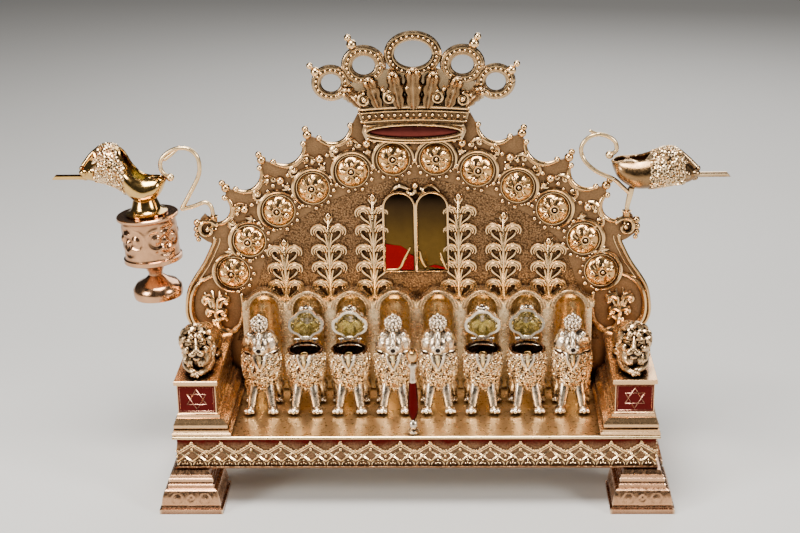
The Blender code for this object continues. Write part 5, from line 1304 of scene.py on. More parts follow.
# %% [markdown]
# Each oil lion is a hollow body on four legs. The body is a loft with its wall, so the well is truly empty. Its
# rim leans forward a little. Under the wick a V-shaped lip leads drips down the chest, and a short tube holds
# the wick. Curls cover the coat from the shoulders down, while the legs are smooth silver with three toes. The
# body under the curls, the well included, is painted almost black: painted shade between the curls.
# %% Oil lions
LION_FRONT = 36.0
LION_FLOOR = TRAY_TOP + 0.3
HINGE_BACK, HINGE_UP, HINGE_RADIUS = 19.4, 41.8, 1.1
RIM_LEAN = math.tan(math.radians(7.0))
LION_SECTIONS = [(10.5, 12.0, 2.0, 2.0), (11.4, 12.2, 6.0, 5.6), (13.0, 12.3, 7.6, 7.2), (18.0, 11.8, 10.4, 10.2),
                 (26.0, 11.2, 11.2, 12.2), (33.0, 10.8, 10.4, 12.2), (37.5, 10.5, 9.4, 11.6)]
LION_AROUND = 40


def lion_ring(height, middle, deep, wide, lean=0.0):
    ring = []
    for i in range(LION_AROUND):
        angle = 2 * math.pi * i / LION_AROUND
        y = middle + deep * math.sin(angle)
        ring.append(Vector((wide * math.cos(angle), y, height + (y - HINGE_BACK) * lean)))
    return ring


def lion_coat():
    bm = bmesh.new()
    smooth = curve_through([Vector(s).to_4d() if len(s) < 4 else Vector(s) for s in LION_SECTIONS[1:]], 4)
    skin(bm, [lion_ring(*section) for section in smooth], caps=False)
    return mesh_of("coat", bm)


def lion_body():
    bm = bmesh.new()
    smooth = curve_through([Vector(s) for s in LION_SECTIONS], 4)
    rings = [lion_ring(*section) for section in smooth]
    rings += [lion_ring(40.1, 10.4, 9.3, 11.6, RIM_LEAN), lion_ring(40.4, 10.4, 8.8, 11.0, RIM_LEAN),
              lion_ring(40.2, 10.4, 7.9, 10.0, RIM_LEAN)]
    rings += [lion_ring(34.0, 10.8, 8.0, 9.6), lion_ring(26.0, 11.2, 8.4, 9.2), lion_ring(22.0, 11.4, 6.8, 7.6),
              lion_ring(21.4, 11.5, 3.0, 3.4)]
    skin(bm, rings)
    # The body is painted almost black: painted shade under and between the curls.
    return painted(bm, SHADE_UNDER_CURLS)


def lion_limbs():
    bm = bmesh.new()
    for sign in (-1, 1):
        leg = curve_through([(sign * 4.6, 6.4, 17.0), (sign * 5.2, 4.2, 12.0), (sign * 6.0, 2.6, 7.0), (sign * 6.7, 1.4, 2.4)], 4)
        tube(bm, leg, [3.7, 3.4, 3.0, 2.8], 10)
        ball(bm, (sign * 7.4, -0.4, 2.1), 1.0, (3.6, 4.3, 2.05), detail=3)
        for toe in (-1, 0, 1):
            ball(bm, (sign * 7.6 + toe * 2.2, -3.4 + abs(toe) * 0.8, 1.5), 1.5, (1.0, 1.25, 0.95))
        haunch = curve_through([(sign * 7.4, 17.0, 17.0), (sign * 8.6, 19.6, 11.0), (sign * 9.0, 20.4, 5.0), (sign * 9.2, 20.4, 2.0)], 4)
        tube(bm, haunch, [4.0, 4.4, 3.0, 2.6], 10)
        ball(bm, (sign * 9.3, 18.6, 1.8), 1.0, (2.9, 4.4, 1.75), detail=3)
        for toe in (-1, 0, 1):
            ball(bm, (sign * 9.3 + toe * 1.7, 14.9 + abs(toe) * 0.6, 1.2), 1.1, (1.0, 1.2, 0.9))
        rim = [(sign * 3.9, 0.7, 38.2), (sign * 2.6, -0.5, 33.6), (sign * 0.3, -0.3, 28.6)]
        tube(bm, curve_through(rim, 4), [1.2, 1.1, 0.8], 8)
        for x in (4.3, 5.9):
            ring = [(sign * x, HINGE_BACK, HINGE_UP), (sign * (x + 1.2), HINGE_BACK, HINGE_UP)]
            tube(bm, ring, HINGE_RADIUS * 0.8, 12)
        tube(bm, [(sign * 5.6, HINGE_BACK - 0.4, 39.6), (sign * 5.6, HINGE_BACK, 41.4)], 0.8, 6)
    edge = lion_ring(38.6, 10.4, 8.9, 11.2, RIM_LEAN)
    tube(bm, edge + edge[:1], 1.1, 8, hint=(0, 0, 1))
    return painted(bm, SILVER)


def lion_wick():
    bm = bmesh.new()
    lathe(bm, [(2.3, 31.0), (2.5, 37.6), (2.2, 38.3), (1.7, 38.1), (1.6, 36.0)], (0, 4.4, 0), 20)
    metal_part = painted(bm, AMBER)
    # A dark disc in the wick's bore: painted shade in the hole, and soot.
    dark = bmesh.new()
    lathe(dark, [(1.55, 35.9), (1.55, 37.3), (0.4, 37.35)], (0, 4.4, 0), 20)
    channel = bmesh.new()
    tube(channel, curve_through([(0, 0.9, 38.0), (0, -0.3, 34.6), (0, 0.0, 31.0)], 4), [1.7, 1.4, 0.8], 8)
    return [metal_part, painted(dark, SHADE_AND_SOOT), painted(channel, AMBER)]


lion = joined(lion_body(), lion_limbs(), *lion_wick(), curls(lion_coat(), 1.6, 1.25, 0.44, 7, FUR))
heads_at = [(i - 3.5) * NICHE_PITCH for i in range(8)]
for number, x in enumerate(heads_at, 1):
    place = TO_WORLD @ Matrix.Translation((x, LION_FRONT, LION_FLOOR))
    finish(f"furred_lion_{number}", lion.copy(), FUR, instead=[f"oil_lion_{number}"], place=place)

# %% [markdown]
# A lion's character is in its face and mane, and this lamp has eighteen of them, so both get a helper: the mane lays wavy locks over an egg shape, in overlapping layers that flow back from the face and
# down, and the face is a set of overlapping swellings, much as a modeller presses lumps of wax together.
# %% Mane and face
def mane(bm, centre, half, layers, thick, floor=-100.0):
    """Locks over an ellipsoid that looks along -Y. A layer is a start and an end tilt and a number of locks."""
    for layer, (near, far, count) in enumerate(layers):
        for i in range(count):
            start = 2 * math.pi * (i + 0.5 * (layer % 2)) / count
            path = []
            for step in range(6):
                t = step / 5
                tilt = math.radians(near + (far - near) * t)
                way = start - 0.5 * t * math.cos(start) + 0.17 * math.sin(2 * math.pi * t) * (-1) ** i
                unit = (math.sin(tilt) * math.cos(way), -math.cos(tilt), math.sin(tilt) * math.sin(way))
                path.append(Vector([c + h * u for c, h, u in zip(centre, half, unit)]))
            if min(point.z for point in path) < floor:
                continue
            tube(bm, path, [0.45 * thick, thick, 1.15 * thick, thick, 0.25 * thick], 6, hint=path[0] - Vector(centre))


def lion_face(bm, dark):
    """A face that looks along -Y, about sixteen wide, round the middle of its skull."""
    ball(bm, (0, 0, 0), 1.0, (7.4, 7.4, 7.8), detail=4)
    tube(bm, [(0, -6.4, 4.4), (0, -8.3, 1.2), (0, -9.9, -1.0)], [1.2, 1.5, 1.9], 10)
    ball(bm, (0, -10.6, -1.5), 1.0, (2.1, 1.0, 1.2), detail=3)
    ball(bm, (0, -8.0, -6.9), 1.0, (2.3, 1.8, 1.6), detail=3)
    for side in (-1, 1):
        brow = [(side * 0.9, -7.3, 2.7), (side * 3.4, -7.1, 4.0), (side * 6.0, -4.8, 3.0)]
        tube(bm, curve_through(brow, 4), [0.7, 1.25, 0.7], 8)
        ball(bm, (side * 2.4, -5.6, 5.6), 2.1)
        ball(bm, (side * 3.4, -6.9, 1.5), 1.1)
        eyelid = [(side * 2.0, -7.6, 1.1), (side * 3.3, -8.0, 2.3), (side * 4.9, -6.9, 1.2)]
        tube(bm, curve_through(eyelid, 4), 0.42, 6)
        ball(bm, (side * 2.1, -9.0, -3.7), 1.0, (2.6, 2.3, 2.1), detail=3)
        ball(bm, (side * 4.9, -5.5, -2.3), 2.5, detail=3)
        # Eyes, nostrils and mouth are dark: painted shade in holes and creases.
        ball(dark, (side * 3.45, -7.85, 1.4), 0.42)
        ball(dark, (side * 0.95, -11.4, -1.8), 0.4)
    mouth = [(-3.4, -9.3, -5.3), (-1.3, -10.9, -5.3), (0, -11.0, -4.8), (1.3, -10.9, -5.3), (3.4, -9.3, -5.3)]
    tube(dark, curve_through(mouth, 3), 0.4, 6)


def moved(bm, matrix):
    bmesh.ops.transform(bm, matrix=matrix, verts=bm.verts)
    return bm


print("mane and face ready")

# %% [markdown]
# A lid is the lion's head, hollow, with a crown of pearls. Its rim is narrow at the hinge, wide in the middle
# and pointed at the muzzle. The mesh is drawn shut, with the hinge's axis as its origin, and each lid is then
# turned to the angle at which it stands, which the record's joint gives.
# %% Lion's-head lids
LID_OUTLINE = [(0.6, 4.6), (0.0, 0.0), (0.0, 0.0)]


def lid_reach(angle):
    """Half sizes of the lid's rim seen from above: the radius from its middle at an angle, 0 to the side."""
    x, y = math.cos(angle), math.sin(angle)
    wide = 11.2
    deep = 9.6 if y < 0 else 9.0
    r = 1 / math.sqrt((x / wide) ** 2 + (y / deep) ** 2)
    waist = 1 - 0.13 * math.exp(-((abs(angle_from(angle, -90)) - 48) / 16) ** 2)
    waist *= 1 - 0.16 * math.exp(-((abs(angle_from(angle, 90)) - 42) / 20) ** 2)
    return r * waist


def angle_from(angle, degrees):
    """Angle in degrees between a direction and another, from -180 to 180."""
    return (math.degrees(angle) - degrees + 180) % 360 - 180


LID_MIDDLE = -9.4
LID_AROUND = 48
LID_LEVELS = [(0.0, 0.98), (0.6, 1.03), (3.0, 1.05), (6.0, 1.02), (9.0, 0.88), (11.5, 0.66), (13.2, 0.44), (14.0, 0.24)]
LID_INNER = [(12.0, 0.16), (10.4, 0.42), (7.0, 0.72), (3.0, 0.84), (0.0, 0.86)]


def lid_ring(height, share):
    ring = []
    for i in range(LID_AROUND):
        angle = 2 * math.pi * i / LID_AROUND
        r = lid_reach(angle) * share
        ring.append(Vector((r * math.cos(angle), LID_MIDDLE + r * math.sin(angle), height - HINGE_RADIUS)))
    return ring


def lid_parts():
    outside = bmesh.new()
    skin(outside, [lid_ring(*level) for level in LID_LEVELS[::-1] + LID_INNER[::-1]])
    outside.faces.ensure_lookup_table()
    for index, face in enumerate(outside.faces):
        face.material_index = int(index >= len(LID_LEVELS) * LID_AROUND and len(face.verts) == 4)
    hair = bmesh.new()
    mane(hair, (0, LID_MIDDLE + 1.2, 1.6), (9.6, 9.4, 10.2), ((40, 70, 16), (62, 96, 16), (88, 124, 14)), 1.45, floor=0.9)
    for sign in (-1, 1):
        ball(hair, (sign * 6.6, LID_MIDDLE - 3.4, 11.0 - HINGE_RADIUS), 2.0, (1.0, 0.8, 1.1))
        ball(hair, (sign * 2.9, LID_MIDDLE - 6.4, 9.4 - HINGE_RADIUS), 1.5, (1.3, 0.8, 0.8))
        ball(hair, (sign * 2.6, -18.6, 4.6 - HINGE_RADIUS), 2.2, (1.0, 1.1, 0.9))
        ball(hair, (sign * 2.3, LID_MIDDLE - 7.7, 8.1 - HINGE_RADIUS), 0.7)
    tube(hair, curve_through([(0, LID_MIDDLE - 4.5, 11.6), (0, -16.2, 8.6), (0, -19.4, 6.4)], 4), [2.0, 2.1, 1.7], 10)
    ball(hair, (0, -20.0, 5.9), 1.3, (1.5, 0.8, 0.8))
    mouth = bmesh.new()
    # The open mouth is a dark ball: painted shade in the hole.
    ball(mouth, (0, -19.9, 3.0), 1.75, (1.0, 0.9, 1.0))
    tube(hair, [(1.9 * math.cos(a), -20.3, 3.0 + 1.9 * math.sin(a)) for a in (2 * math.pi * i / 16 for i in range(17))],
         0.55, 6)
    knuckle = bmesh.new()
    tube(knuckle, [(-3.2, 0, 0), (3.2, 0, 0)], HINGE_RADIUS, 14)
    tube(knuckle, [(-3.4, -1.4, -0.3), (3.4, -1.4, -0.3)], 0.9, 8)
    cap = bmesh.new()
    lathe(cap, [(2.8, 11.6), (3.4, 13.2), (4.5, 13.6), (4.6, 14.2), (3.6, 14.8), (4.3, 16.8), (4.5, 18.6), (3.8, 20.4),
                (2.2, 21.6), (0.7, 22.1)], (0, LID_MIDDLE, -HINGE_RADIUS), 20)
    rim = lid_ring(0.55, 0.99)
    tube(hair, rim + rim[:1], 0.6, 6, hint=(0, 0, 1))
    spots = []
    for height, radius, count, size in ((15.2, 4.4, 12, 0.95), (17.3, 4.8, 13, 1.05), (19.3, 4.7, 12, 1.05),
                                        (21.0, 3.4, 9, 0.95), (22.3, 1.6, 5, 0.8)):
        for i in range(count):
            angle = 2 * math.pi * (i + 0.5 * (count % 2)) / count
            spots.append((Vector((radius * math.cos(angle), LID_MIDDLE + radius * math.sin(angle), height - HINGE_RADIUS)), size))
    spots.append((Vector((0, LID_MIDDLE, 23.6 - HINGE_RADIUS)), 1.1))
    shell = painted(outside, SILVER)
    shell.materials.append(OLIVE)
    return [shell, painted(hair, SILVER), painted(mouth, SHADE_AND_SOOT), painted(knuckle, SILVER), painted(cap, SILVER),
            pearls(spots, SILVER)]


lid = joined(*lid_parts())
OPEN_AT_REST = {}
for joint in frame["joints"]:
    number = int(joint["name"].split("_")[-1])
    OPEN_AT_REST[number] = -joint["range_deg"][0]
for number, x in enumerate(heads_at, 1):
    lean = math.radians(7.0 - OPEN_AT_REST[number])
    place = Matrix.Translation((x, LION_FRONT + HINGE_BACK, LION_FLOOR + HINGE_UP)) @ Matrix.Rotation(lean, 4, 'X')
    finish(f"crowned_head_{number}", lid.copy(), SILVER, body=f"lid_{number}",
           instead=[f"lion_head_{number}"], place=TO_WORLD @ place)

# %% [markdown]
# The guardians lie on the arms with crossed paws. The body is a loft of ellipses along the back, cut flat where it lies on the slab. The haunch and forelegs are
# laid over it. Small curls cover the shoulders behind the mane.
# %% Guardian lions
GUARDIAN_AT = (133.95, 11.0, 84.9)
GUARDIAN_BODY = [(0.2, 8.5, 2.2, 2.6), (1.5, 8.5, 5.4, 6.0), (7.0, 11.0, 10.2, 9.2), (24.0, 9.6, 9.4, 9.0),
                 (42.0, 9.6, 9.4, 9.8), (48.0, 7.0, 5.0, 5.4), (49.6, 6.4, 2.0, 2.4)]


def upright_ovals(rows, count=30, floor=0.15):
    """Rings of a body that lies along Y: place, middle height, half height and half width of each."""
    rings = []
    for y, middle, half_z, half_x in rows:
        rings.append([Vector((half_x * math.cos(a), y, max(floor, middle + half_z * math.sin(a))))
                      for a in (2 * math.pi * i / count for i in range(count))])
    return rings


def guardian_mesh(flip):
    smooth = curve_through([Vector(s) for s in GUARDIAN_BODY], 5)
    body, dark, face, shoulders = (bmesh.new() for _ in range(4))
    skin(body, upright_ovals(smooth))
    for side in (-1, 1):
        lift = 1.6 if side * flip > 0 else 0.0
        leg = [(side * 6.6, 14.0, 5.0), (side * 6.0, 5.0, 3.6 + lift), (side * 3.6, -0.6, 3.0 + lift),
               (side * 0.4, -3.4, 2.4 + lift)]
        tube(body, curve_through(leg, 4), [3.6, 3.0, 2.4, 2.2], 10, hint=(0, 0, 1))
        for toe in range(3):
            spot = (side * (1.4 - 1.7 * toe), -4.6 + 0.5 * toe, 1.9 + lift * 0.7)
            ball(body, spot, 1.35, (1.0, 1.3, 0.95))
        ball(body, (side * 7.2, 41.0, 6.6), 1.0, (3.6, 8.5, 6.4), detail=3)
        ball(body, (side * 8.4, 32.0, 1.8), 1.0, (2.3, 5.0, 1.7), detail=3)
        for t in (-1.0, -0.35, 0.35, 1.0):
            lock = [(side * (1.0 + 3.4 * abs(t)), -0.6, 14.0), (side * (1.6 + 3.2 * abs(t)) + t, -1.8, 10.6),
                    (side * (1.2 + 2.4 * abs(t)) - t, -1.6, 7.0)]
            tube(body, curve_through(lock, 4), [0.9, 1.3, 0.5], 7)
    tail = [(4.0, 48.0, 3.0), (8.6, 45.0, 2.0), (10.0, 38.0, 1.4), (9.6, 31.0, 1.4)]
    tube(body, curve_through([(flip * x, y, z) for x, y, z in tail], 5), [1.2, 1.1, 1.1, 1.7], 8)
    lion_face(face, dark)
    place = Matrix.Translation((0, 5.4, 20.4)) @ Matrix.Rotation(flip * math.radians(-9), 4, 'Z') @ Matrix.Scale(1.06, 4)
    mane(face, (0, 0.9, 0.6), (8.7, 7.6, 9.1), ((50, 86, 15), (74, 114, 15), (102, 140, 12)), 1.45)
    for bm in (face, dark):
        moved(bm, place)
    skin(shoulders, upright_ovals([row for row in smooth if 8.0 < row[0] < 24.0], floor=3.0), caps=False)
    fur = curls(mesh_of("shoulders", shoulders), 2.1, 1.5, 0.55, 3, FUR)
    return joined(painted(body, GUARDIAN), painted(face, GUARDIAN), painted(dark, SHADE_AND_SOOT), fur)


for side, sign in (("left", -1), ("right", 1)):
    place = TO_WORLD @ Matrix.Translation((sign * GUARDIAN_AT[0], GUARDIAN_AT[1], GUARDIAN_AT[2]))
    finish(f"couchant_lion_{side}", guardian_mesh(sign), GUARDIAN, instead=[f"guardian_lion_{side}"],
           place=place)

# %% [markdown]
# A small turned post stands at the middle of the tray's front edge: a silver ball foot, a shaft painted dark
# red as a reflection, a silver collar and a gilt ball on top. It is turned in four lengths, so each can have its own
# finish.
# %% Centre post
POST_AT = (-1.0, 6.0, 48.8)
POST_TALL, POST_RADIUS = 55.2, 3.8
POST_PARTS = [([(0.95, 0.0), (0.95, 0.025), (0.48, 0.04), (0.72, 0.06), (0.86, 0.10), (0.70, 0.14), (0.36, 0.16)], SILVER),
              ([(0.34, 0.155), (0.52, 0.18), (0.84, 0.24), (0.90, 0.30), (0.84, 0.42), (0.70, 0.55), (0.60, 0.63)], RED_REFLECTION_GILT),
              ([(0.62, 0.615), (0.66, 0.64), (0.56, 0.66), (0.56, 0.74), (0.70, 0.78), (0.88, 0.80), (0.94, 0.825),
                (0.84, 0.845), (0.50, 0.855)], SILVER),
              ([(0.48, 0.85), (0.78, 0.875), (0.98, 0.91), (1.0, 0.94), (0.84, 0.98), (0.46, 0.998), (0.1, 1.0)], ROSE)]
parts = []
for profile, material in POST_PARTS:
    turned = bmesh.new()
    lathe(turned, [(r * POST_RADIUS, z * POST_TALL) for r, z in profile], steps=36)
    parts.append(painted(turned, material))
finish("turned_post", joined(*parts), ROSE, instead=["centre_post"],
       place=TO_WORLD @ Matrix.Translation(POST_AT))

# %% [markdown]
# On each shoulder of the plate a short flared tube takes the peg of a servant. The tube is a turned shape whose
# profile runs up the outside, over the lip and down into the bore.
# %% Sockets
JUG_SEAT, LAMP_SEAT = (-129.3, PLATE_MIDDLE, 164.1), (133.6, PLATE_MIDDLE, 165.7)
SOCKET_PROFILE = [(2.3, -9.4), (3.0, -8.6), (2.4, -7.6), (2.6, -5.0), (2.5, -2.0), (3.0, -0.6), (3.3, -0.1), (2.9, 0.05),
                  (2.0, -0.4), (1.85, -1.4), (1.85, -4.0)]
sockets = bmesh.new()
for seat in (JUG_SEAT, LAMP_SEAT):
    lathe(sockets, SOCKET_PROFILE, seat, 28)
finish("servant_sockets", sockets, ROSE)

# %% [markdown]
# The two servants are drawn from their sockets, with x outwards, and a matrix puts each on its side. Their bowls
# are boats with a wall: every section is a U, open above a wavy mouth line, and the sections close over where
# the lion's head begins. The head is lofted through the same sections, with curls on it, and a half pipe comes
# out of its mouth.
# %% Servant bowls
SEAT_OF_JUG = Matrix.Translation(JUG_SEAT) @ Matrix.Diagonal((-1, 1, 1, 1))
SEAT_OF_LAMP = Matrix.Translation(LAMP_SEAT)
BOWL_WALL = 1.2
JUG_BOWL = [(-13.4, 20.5, 23.0, 2.2), (-9.0, 12.0, 24.8, 8.6), (0.0, 6.5, 25.5, 11.8), (8.0, 9.6, 32.0, 12.4),
            (15.0, 16.0, 43.4, 12.4), (25.0, 20.4, 45.2, 11.0), (34.2, 22.0, 36.5, 6.8), (38.8, 23.6, 30.0, 3.8)]
LAMP_BOWL = [(-14.0, 14.0, 18.0, 3.0), (-10.0, 6.4, 20.2, 9.4), (0.0, 0.0, 20.8, 12.8), (11.0, 0.0, 23.0, 13.0),
             (19.0, 1.2, 26.0, 12.4), (26.0, 2.2, 25.0, 10.8), (33.0, 3.2, 18.0, 7.2), (38.3, 6.0, 12.4, 3.8)]
JUG_MOUTH = [(-13.4, 22.2), (-4.0, 24.4), (0.5, 23.0), (5.5, 25.4), (10.6, 34.0), (15.8, 44.6)]
LAMP_MOUTH = [(-14.0, 17.2), (-9.0, 18.4), (-4.0, 19.6), (1.0, 18.6), (6.0, 19.2), (10.0, 22.4), (14.0, 26.4)]
U_STEPS = 24


def line_at(points, x):
    """The height of a polyline at x."""
    for (x0, z0), (x1, z1) in zip(points, points[1:]):
        if x <= x1:
            return z0 + (z1 - z0) * (x - x0) / (x1 - x0)
    return points[-1][1]


def boat(rows, mouth):
    """The open part of a bowl. The first material is its outside, the second its inside."""
    bm = bmesh.new()
    rings = []
    for x, low, high, half_y in rows:
        if x > mouth[-1][0]:
            break
        middle, half_z = (low + high) / 2, (high - low) / 2
        ring = []
        for thin, order in ((0.0, 1), (BOWL_WALL, -1)):
            deep, wide = max(0.5, half_z - thin), max(0.5, half_y - thin)
            start = math.asin(max(-0.9, min(0.995, (line_at(mouth, x) - middle) / deep)))
            side = [Vector((x, wide * math.cos(a), middle + deep * math.sin(a)))
                    for a in (start - (math.pi + 2 * start) * i / (U_STEPS - 1) for i in range(U_STEPS))]
            ring += side[::order]
        rings.append(ring)
    skin(bm, rings)
    bm.faces.ensure_lookup_table()
    for index in range((len(rings) - 1) * 2 * U_STEPS):
        bm.faces[index].material_index = int(index % (2 * U_STEPS) >= U_STEPS)
    return bm, rings


def section(x, low, high, half_y, count=32, shrink=1.0):
    middle, half_z = (low + high) / 2, (high - low) / 2
    return [Vector((x, half_y * shrink * math.cos(a), middle + half_z * shrink * math.sin(a)))
            for a in (2 * math.pi * i / count for i in range(count))]


def half_pipe(bm, start, tip, height):
    rings = []
    for x, slant in ((start, 0.0), (tip - 4.0, 0.0), (tip, 0.9)):
        ring = []
        for radius, order in ((2.4, 1), (1.5, -1)):
            angles = [math.radians(8 - 196 * i / 12) for i in range(13)][::order]
            ring += [Vector((x - slant * (radius * math.sin(a) + 2.4), radius * math.cos(a),
                             height + radius * math.sin(a))) for a in angles]
        rings.append(ring)
    skin(bm, rings)


def servant_bowl(rows, mouth, spout, seat, outside, inside):
    """Meshes of one bowl, in place: boat, rim, head, curls, face and spout."""
    smooth = curve_through([Vector(row) for row in rows], 6)
    hull, rings = boat(smooth, mouth)
    trim, head, coat, dark = (bmesh.new() for _ in range(4))
    for pick in (0, U_STEPS - 1):
        lip = [(ring[0] + ring[-1]) / 2 if pick == 0 else (ring[U_STEPS - 1] + ring[U_STEPS]) / 2 for ring in rings]
        tube(trim, lip, 0.85, 8)
    closed = [row for row in smooth if row[0] > mouth[-1][0] - 2.0]
    skin(head, [section(*row) for row in closed])
    skin(coat, [section(*row) for row in smooth if mouth[-1][0] - 5.0 < row[0] < 31.0], caps=False)
    coat.verts.ensure_lookup_table()
    doomed = [v for v in coat.verts if v.co.x < mouth[-1][0] and v.co.z > line_at(mouth, v.co.x) - 1.0]
    bmesh.ops.delete(coat, geom=doomed, context='VERTS')

    def skin_point(x, side, up):
        low, high, wide = (line_at([(row[0], row[k]) for row in smooth], x) for k in (1, 2, 3))
        return Vector((x, side * wide, (low + high) / 2 + up * (high - low) / 2))
    ridge = [skin_point(27.0, 0, 0.98), skin_point(33.0, 0, 1.05), skin_point(38.0, 0, 1.1)]
    tube(head, curve_through(ridge, 4), [1.3, 1.7, 1.9], 10)
    ball(head, skin_point(39.6, 0, 0.95), 1.9, (0.8, 1.25, 0.9), detail=3)
    ball(head, skin_point(37.4, 0, -0.9), 2.0, (1.2, 1.0, 0.8), detail=3)
    for side in (-1, 1):
        brow = [skin_point(28.4, side * 0.2, 0.98), skin_point(29.6, side * 0.52, 0.88), skin_point(28.2, side * 0.82, 0.56)]
        tube(head, curve_through(brow, 4), [0.9, 1.5, 0.8], 8)
        ball(head, skin_point(31.4, side * 0.62, 0.76), 1.4, detail=3)
        # Dark eyes: painted shade in the sockets.
        ball(dark, skin_point(32.0, side * 0.70, 0.80), 0.6)
        ball(head, skin_point(37.4, side * 0.8, 0.15), 2.5, (1.3, 1.0, 0.9), detail=3)
        ball(head, skin_point(32.0, side * 0.9, -0.1), 2.7, detail=3)
    half_pipe(head, 36.4, spout[1], spout[0])
    for bm in (hull, trim, head, coat, dark):
        moved(bm, seat)
    fur = curls(mesh_of("coat", coat), 1.9, 1.5, 0.52, 11, FUR)
    shell = painted(hull, outside)
    shell.materials.append(inside)
    return [shell, painted(trim, outside), painted(head, outside), painted(dark, SHADE_AND_SOOT), fur]


LAMP_AT = Matrix.Translation((4.3, 0, 15.3))
lamp_meshes = servant_bowl(LAMP_BOWL, LAMP_MOUTH, (8.8, 60.2), SEAT_OF_LAMP @ LAMP_AT, BRONZE, ROSE_GROUND)
finish("shamash_boat", joined(*lamp_meshes), BRONZE, instead=["shamash_bowl"])

# %% [markdown]
# The jug's bowl stands on a trumpet neck. Under it hangs a drum with a flat rim, a band of chased foliage, a
# stem and a dish-shaped foot. The band is raised by a formula on a finely divided turned wall: two facing
# scrolls and a rosette, four times round. The drum is a little oval, as its solid is.
# %% Jug
JUG_AT = Matrix.Translation((42.5, 0, 2.4))
JUG_LEAN = Matrix.Rotation(math.radians(4), 4, 'Y')
JUG_METAL = metal("jug_gilt", (0.80, 0.50, 0.16), (0.16, 0.03, 0.012), rough=(0.08, 0.22), grain=0.03)
NECK_PROFILE = [(13.4, 0.0), (13.4, 1.0), (11.6, 1.6), (10.4, 2.4), (9.2, 4.4), (8.4, 7.0), (7.2, 10.6), (6.4, 14.0)]
neck = bmesh.new()
lathe(neck, NECK_PROFILE, steps=48)
moved(neck, SEAT_OF_JUG @ JUG_AT @ JUG_LEAN)
jug_meshes = servant_bowl(JUG_BOWL, JUG_MOUTH, (24.8, 59.4), SEAT_OF_JUG @ JUG_AT, JUG_METAL, OLIVE)
finish("jug_boat", joined(*jug_meshes, painted(neck, JUG_METAL)), JUG_METAL, instead=["jug_bowl"])

DRUM_RADIUS, DRUM_TALL = 19.9, 57.0
DRUM_SQUEEZE = 0.945
DRUM_PROFILE = [(0.60, 0.0), (0.78, 0.012), (0.81, 0.05), (0.80, 0.12), (0.66, 0.18), (0.40, 0.22), (0.23, 0.27), (0.24, 0.31),
                (0.34, 0.37), (0.60, 0.405), (0.90, 0.445), (0.95, 0.455), (0.95, 0.50), (0.90, 0.51), (0.89, 0.52)]
DRUM_WALL = [(0.89, 0.52 + 0.42 * i / 26) for i in range(1, 27)]
DRUM_LID = [(0.97, 0.955), (1.0, 0.965), (1.0, 0.99), (0.97, 1.0), (0.3, 1.0)]


def drum_relief(angle, share):
    """Height of the foliage on the drum's wall, in shares of its radius."""
    level = (share - 0.73) / 0.21
    if abs(level) > 1:
        return 0.0
    across = (angle * 4 / math.pi) % 2 - 1
    curl = math.hypot(abs(across) - 0.5, level * 0.8 - 0.1)
    scroll = math.sin(curl * 17) * math.exp(-(curl / 0.42) ** 2)
    rosette = math.cos(math.hypot(across, level * 0.9) * 15) * math.exp(-(across / 0.26) ** 2)
    return 0.05 * (1 - level ** 4) * (scroll + rosette)


drum = bmesh.new()
rings = []
for share, height in DRUM_PROFILE + DRUM_WALL + DRUM_LID:
    ring = []
    for i in range(120):
        angle = 2 * math.pi * i / 120
        r = DRUM_RADIUS * (share + drum_relief(angle, height))
        ring.append(Vector((r * math.cos(angle), r * math.sin(angle) * DRUM_SQUEEZE, (height - 1.0) * DRUM_TALL - 0.3)))
    rings.append(ring)
skin(drum, rings)
moved(drum, SEAT_OF_JUG @ JUG_AT @ JUG_LEAN)
DRUM_METAL = metal("drum_gilt", (0.70, 0.38, 0.20), (0.08, 0.02, 0.010), rough=(0.12, 0.28), grain=0.06)
finish("chased_drum", drum, DRUM_METAL, instead=["jug_drum"])

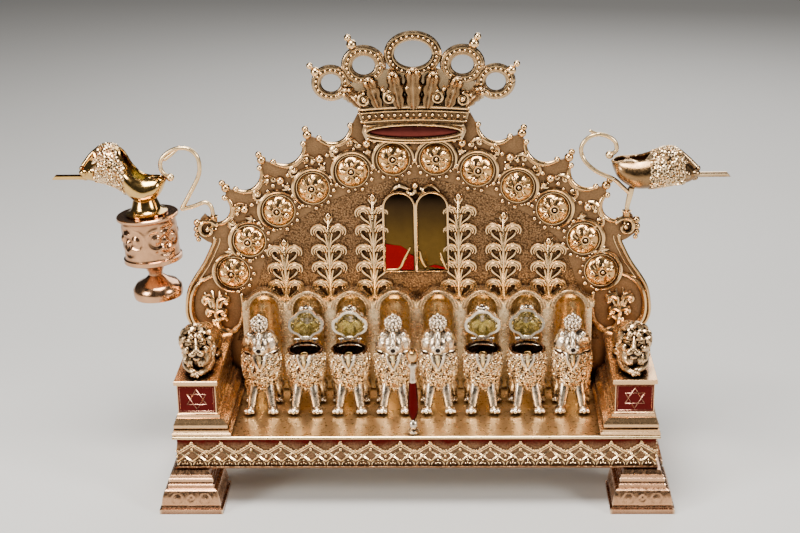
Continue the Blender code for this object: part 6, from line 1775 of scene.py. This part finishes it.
# %% [markdown]
# Both handles are bars bent by hand, with a second spur at the top and a ball where the bar meets the bowl. The
# jug's bar runs on as an arm that bends sharply down into its socket; the other lamp has a tapered peg.
# %% Handles and pegs
JUG_LOOP = [(26.4, 25.8), (29.8, 28.2), (31.8, 32.2), (31.0, 37.4), (27.0, 41.8), (20.6, 44.8), (13.4, 44.4), (8.2, 39.6),
            (6.9, 32.0), (8.6, 25.0), (14.0, 15.0), (20.0, 4.6)]
JUG_ARM = [(20.0, 4.6), (12.0, 6.6), (5.2, 9.0), (1.6, 7.0), (0.2, 2.4), (0.0, -3.3)]
JUG_SPUR = [(28.9, 37.6), (23.5, 41.6), (18.9, 46.0)]
LAMP_LOOP = [(-11.0, 36.6, 0), (-7.4, 39.6, 0), (-8.2, 44.8, 0), (-12.8, 48.6, 0), (-19.0, 50.0, 0), (-25.0, 47.8, 0),
             (-29.0, 42.6, 0), (-28.8, 36.6, 0), (-25.4, 31.2, -1.5), (-19.0, 26.6, -3.6), (-9.0, 22.0, -4.2),
             (-4.0, 17.2, -2.4), (1.4, 11.6, 0)]
LAMP_SPUR = [(-13.6, 49.1), (-19.8, 50.3), (-24.0, 52.4)]
LAMP_PEG = [(2.6, 14.9), (1.8, 10.0), (0.4, 3.0), (0.0, -3.3)]
BAR = 1.35


def bar(bm, points, radius):
    path = [Vector((p[0], p[2] if len(p) > 2 else 0.0, p[1])) for p in points]
    tube(bm, curve_through(path, 5), radius, 12)


handle = bmesh.new()
bar(handle, JUG_LOOP, BAR)
bar(handle, JUG_ARM, BAR)
bar(handle, JUG_SPUR, [1.3, 1.1, 0.9])
ball(handle, (26.0, 0, 25.8), 2.6, detail=3)
finish("jug_bar", moved(handle, SEAT_OF_JUG), PALE, instead=["jug_handle"])
handle = bmesh.new()
bar(handle, LAMP_LOOP, BAR)
bar(handle, LAMP_SPUR, [1.3, 1.1, 0.9])
bar(handle, LAMP_PEG, [2.1, 1.9, 1.5, 1.35])
ball(handle, (-11.6, 0, 36.6), 2.6, detail=3)
finish("lamp_bar", moved(handle, SEAT_OF_LAMP), PALE, instead=["shamash_handle"])

# %% [markdown]
# Last, the script prints how many triangles the new pieces have.
# %% Count the triangles
print("triangles", sum(made.values()))
